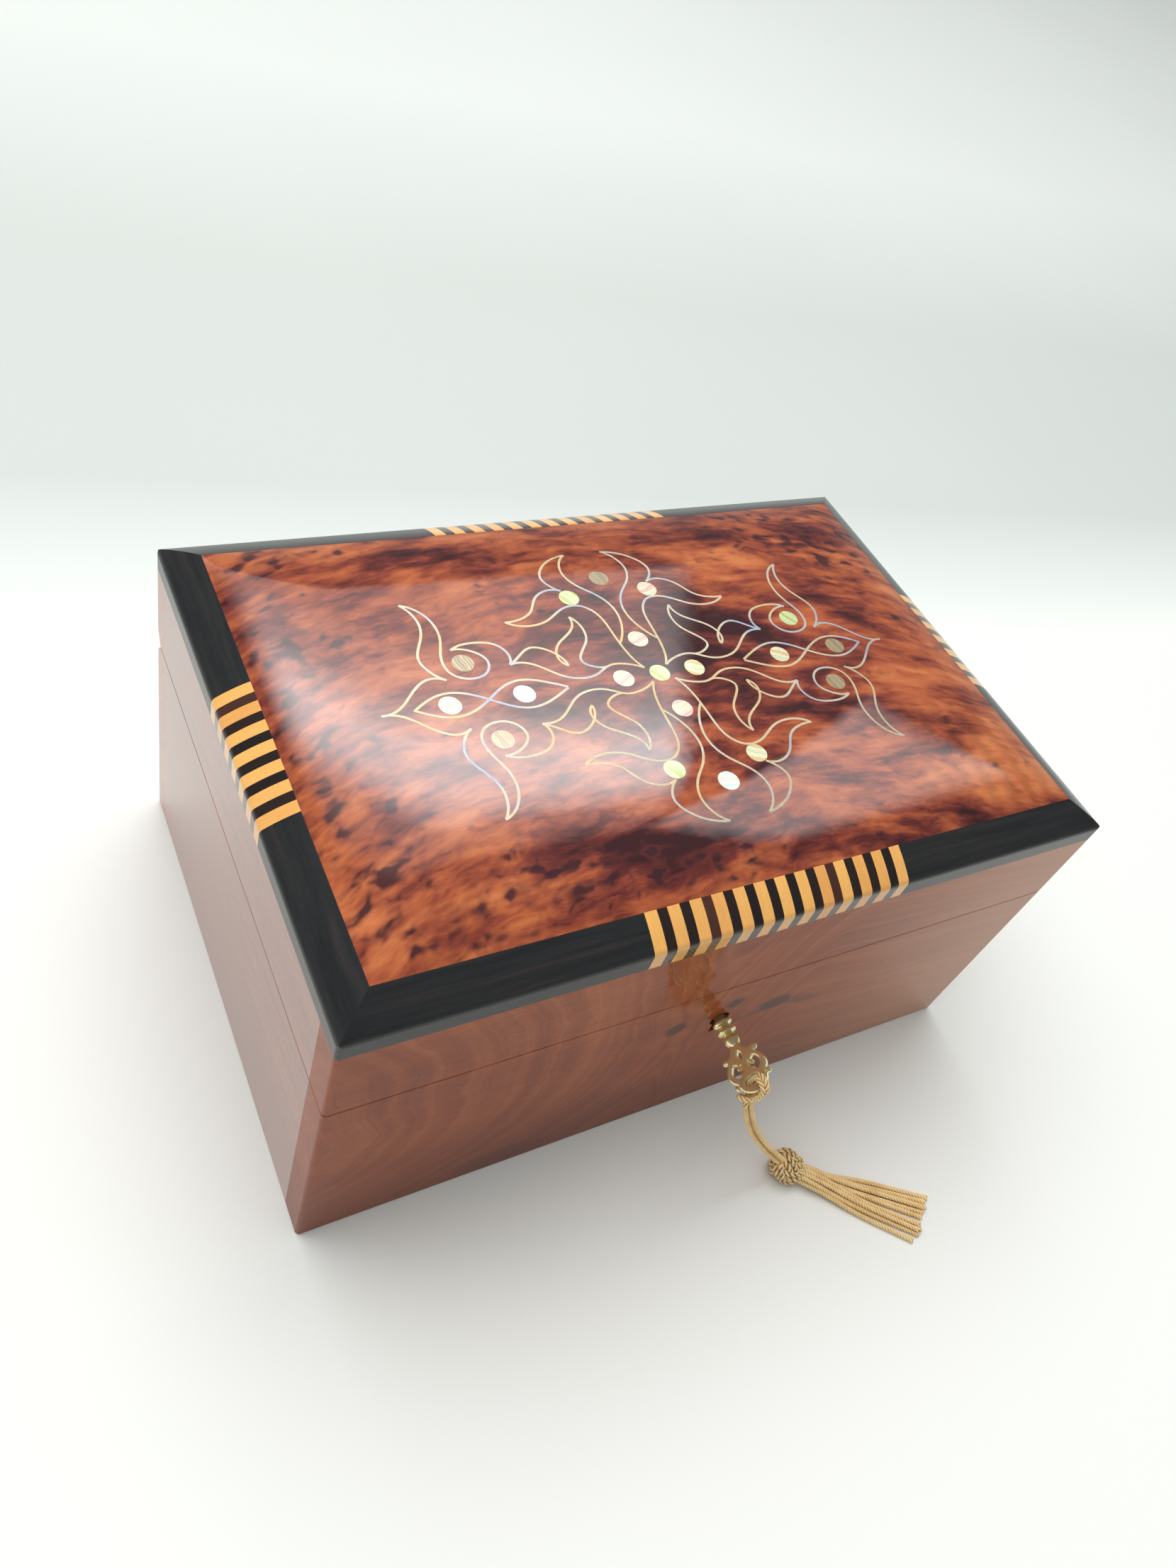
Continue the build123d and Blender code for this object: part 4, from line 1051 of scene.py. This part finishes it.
def pillow(low, high, puff, face="+Z", columns=28, rows=28, seed=0.0):
    """A padded block: flat where it is glued, crowned and drawn in at its edges elsewhere.

    Low and high are its corners, in metres. The face names the side that is padded.
    """
    axis = "XYZ".index(face[1])
    sign = 1 if face[0] == "+" else -1
    u_axis, v_axis = [i for i in range(3) if i != axis]
    size = [high[i] - low[i] for i in range(3)]
    deep = size[axis]
    us, vs = spread(1.0, columns, 2.0), spread(1.0, rows, 2.0)
    vertices = []

    def place(u, v, level):
        spot = [0.0, 0.0, 0.0]
        draw = 1 - EDGE_DRAW * (1 - v * v) * (abs(u) > 0.98)
        spot[u_axis] = low[u_axis] + size[u_axis] * (0.5 + u * 0.5 * draw)
        spot[v_axis] = low[v_axis] + size[v_axis] * (0.5 + v * 0.5)
        spot[axis] = (low if sign > 0 else high)[axis] + sign * deep * level
        return Vector(spot)

    for v in vs:
        for u in us:
            round_u = max(0.0, 1 - abs(u) ** (size[u_axis] / deep * puff[0])) ** 0.5
            round_v = max(0.0, 1 - abs(v) ** (size[v_axis] / deep * puff[1])) ** 0.5
            level = EDGE_LEVEL + (1 - EDGE_LEVEL) * round_u * round_v
            ripple = noise.noise(place(u, v, level) * RIPPLE_SCALE + Vector((seed, 0, 0))) * RIPPLE
            vertices.append(place(u, v, min(1.0, level * (0.985 + ripple))))
    faces = close_grid(vertices, columns, rows, lambda i, j: place(us[i], vs[j], 0.0))
    return vertices, faces, [(0.0, 0.0)] * len(vertices)


def add_padding(name, parts, body, node):
    """Velvet-covered padding that stands for a CAD node."""
    data = smooth_mesh(name, *join_parts(parts))
    bm = bmesh.new()
    bm.from_mesh(data)
    bmesh.ops.recalc_face_normals(bm, faces=bm.faces)
    bm.to_mesh(data)
    bm.free()
    add_object(name, data, body, "velvet", node)


LINERS = {
    "floor_liner": "+Z", "liner_front": "+Y", "liner_back": "-Y", "liner_left": "+X", "liner_right": "-X",
}
for node, face in LINERS.items():
    low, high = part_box(node)
    add_padding(f"{node}_padding", [pillow(low, high, (1.2, 1.2), face)], "case", node)
low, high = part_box("lid_pad")
lid_pad = pillow(low, high, (0.35, 0.35), "-Z", columns=60, rows=44)
add_padding("lid_padding", [lid_pad], "lid", "lid_pad")

ROLLS, ROLL_GAP = 9, 0.8
low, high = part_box("ring_rolls")
roll_step = (high[1] - low[1] + ROLL_GAP * MM) / ROLLS
rolls = []
for n in range(ROLLS):
    start = low[1] + n * roll_step
    roll_low = Vector((low[0], start, low[2]))
    roll_high = Vector((high[0], start + roll_step - ROLL_GAP * MM, high[2]))
    rolls.append(pillow(roll_low, roll_high, (0.8, 2.2), "+Z", columns=40, rows=26, seed=n * 7.3))
add_padding("ring_roll_padding", rolls, "tray", "ring_rolls")


def tray_wells():
    """The tray's four compartments, as (low x, high x, low y, high y): one along the front and
    three behind the long divider, between the two short ones."""
    low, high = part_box("tray_pads")
    long_divider, short_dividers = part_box("tray_long_divider"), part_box("tray_short_dividers")
    thick = long_divider[1][1] - long_divider[0][1]
    stops = (
        (low[0], short_dividers[0][0]), (short_dividers[0][0] + thick, short_dividers[1][0] - thick),
        (short_dividers[1][0], high[0]),
    )
    wells = [(low[0], high[0], low[1], long_divider[0][1])]
    return wells + [(start, end, long_divider[1][1], high[1]) for start, end in stops]


low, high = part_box("tray_pads")
pads = []
for x0, x1, y0, y1 in tray_wells():
    pads.append(pillow(Vector((x0, y0, low[2])), Vector((x1, y1, high[2])), (0.5, 0.5), "+Z"))
add_padding("tray_well_padding", pads, "tray", "tray_pads")


# ---------------------------------------------------------------- floor, light
FLOOR_HALF = 6.0
BACKDROP_SHADE_WAY = (0.151, 0.988, 0.0)  # the way across the line beyond which the floor gets a painted band of shade


def flat_sheet(name, half_wide, half_tall, order):
    """A rectangle on XY; the order of its corners says which way it faces."""
    data = bpy.data.meshes.new(name)
    corners = ((-1, -1), (1, -1), (1, 1), (-1, 1))
    data.from_pydata([(x * half_wide, y * half_tall, 0) for x, y in corners], [], [order])
    return link(name, data)


def add_floor():
    """A pale surface, far wider than the view, with a painted band of shade further back that stands in for
    the shade of a backdrop's curve.
    """
    floor = flat_sheet("floor", FLOOR_HALF, FLOOR_HALF, (0, 1, 2, 3))
    look = Look("pale_floor", Roughness=0.55, Specular_IOR_Level=0.3)
    far = look.dot(look.place, BACKDROP_SHADE_WAY) / 1000.0
    tone = look.noise(look.place, 400.0, 2.0)
    # Painted shade: darker further back and lighter again far off, as light would fall on a backdrop that
    # curves up.
    color = look.ramp(
        far, (0.17, (0.83, 0.83, 0.8)), (0.21, (0.73, 0.76, 0.73)),
        (0.3, (0.58, 0.61, 0.59)), (0.55, (0.58, 0.61, 0.58)), (0.9, (0.72, 0.74, 0.71)),
    )
    look.set(Base_Color=look.shade(color, tone, 0.97, 1.03))
    floor.data.materials.append(look.material)


def sky_way(azimuth, elevation):
    """The direction towards a place in the sky, given in degrees."""
    a, e = math.radians(azimuth), math.radians(elevation)
    return Vector((math.cos(a) * math.cos(e), math.sin(a) * math.cos(e), math.sin(e)))


def add_softbox(name, azimuths, elevations, radiance, heights, edges, distance=1.6, aim=(0, 0, 0.14)):
    """A soft panel of light that fills those directions as seen from the lid.

    Heights give how bright it is from its lower edge to its upper edge, as (place, level) stops,
    and edges give how wide the fading is at its two sides.
    """
    azimuth, elevation = sum(azimuths) / 2, sum(elevations) / 2
    wide = math.radians(azimuths[1] - azimuths[0]) * math.cos(math.radians(elevation))
    tall = math.radians(elevations[1] - elevations[0])
    half_wide, half_tall = (distance * math.tan(angle / 2) for angle in (wide, tall))
    panel = flat_sheet(name, half_wide, half_tall, (0, 3, 2, 1))
    out = sky_way(azimuth, elevation)
    side = Vector((0, 0, 1)).cross(out).normalized()
    turn = Matrix((side, out.cross(side), out)).transposed().to_4x4()
    panel.matrix_world = Matrix.Translation(Vector(aim) + out * distance) @ turn
    look = Look(f"{name}_light")
    x, y, z = look.split(look.place)
    along, up = x * (0.5 * MM / half_wide) + 0.5, y * (0.5 * MM / half_tall) + 0.5
    level = look.ramp(up, *((place, (value,) * 3) for place, value in heights))
    left, right = edges
    level = look.shade(level, look.smooth(along, 0.0, left), 0.0, radiance)
    level = look.shade(level, look.smooth(along, 1.0, 1.0 - right), 0.0, 1.0)
    glow = look.nodes.new("ShaderNodeEmission")
    look.join(look.feed(glow, level), look.out)
    glow.inputs["Strength"].default_value = 1.0
    look.nodes.remove(look.shader)
    panel.data.materials.append(look.material)
    panel.visible_camera = panel.visible_diffuse = panel.visible_shadow = False


OVERHEAD_SIZE, OVERHEAD_RADIANCE, OVERHEAD_DISTANCE = (3.4, 2.6), 3.15, 3.0
OVERHEAD_AZIMUTH, OVERHEAD_ELEVATION = 115, 71


def add_overhead():
    """The large lamp above and behind that lights the room."""
    data = bpy.data.lights.new("overhead", "AREA")
    data.shape = "RECTANGLE"
    data.size, data.size_y = OVERHEAD_SIZE
    data.energy = OVERHEAD_RADIANCE * math.pi * data.size * data.size_y
    lamp = link("overhead", data)
    out = sky_way(OVERHEAD_AZIMUTH, OVERHEAD_ELEVATION)
    lamp.rotation_mode = "QUATERNION"
    lamp.rotation_quaternion = out.to_track_quat("Z", "Y")
    lamp.location = out * OVERHEAD_DISTANCE
    lamp.visible_glossy = False


def add_world():
    """Pale surroundings: bright to look at, dimmer in reflections, as an open room is."""
    world = bpy.data.worlds.new("studio")
    bpy.context.scene.world = world
    world.use_nodes = True
    nodes, links = world.node_tree.nodes, world.node_tree.links
    nodes.clear()
    coordinates = nodes.new("ShaderNodeTexCoord")
    parts = nodes.new("ShaderNodeSeparateXYZ")
    links.new(coordinates.outputs["Generated"], parts.inputs[0])

    def step(axis, *values):
        """A soft step along X, Y or Z, from (low, high, level at low, level at high)."""
        node = nodes.new("ShaderNodeMapRange")
        node.interpolation_type = "SMOOTHSTEP"
        links.new(parts.outputs["XYZ".index(axis)], node.inputs[0])
        for socket, value in zip(node.inputs[1:5], values):
            socket.default_value = value
        return node.outputs[0]

    level = nodes.new("ShaderNodeMix")
    links.new(nodes.new("ShaderNodeLightPath").outputs["Is Glossy Ray"], level.inputs["Factor"])
    links.new(step("Y", -0.8, 0.8, 0.44, 0.8), level.inputs[2])
    links.new(step("Z", 0.12, 0.5, 0.32, 0.12), level.inputs[3])
    shade = nodes.new("ShaderNodeBackground")
    shade.inputs["Color"].default_value = (0.93, 0.98, 0.97, 1)
    links.new(level.outputs[0], shade.inputs["Strength"])
    links.new(shade.outputs[0], nodes.new("ShaderNodeOutputWorld").inputs[0])


add_floor()
add_world()
add_softbox("window", (38, 118), (35, 62), 10.0, (
    (0.0, 0.0), (0.06, 0.15), (0.3, 0.22), (0.45, 0.42), (0.58, 1.0), (0.68, 0.9), (0.8, 0.22),
    (1.0, 0.03),
), (0.05, 0.3))
add_softbox("side_window", (2, 34), (36, 55), 3.3, (
    (0.0, 0.0), (0.12, 0.8), (0.85, 1.0), (1.0, 0.0),
), (0.4, 0.06))
add_overhead()
bpy.context.scene.view_settings.view_transform = "Standard"
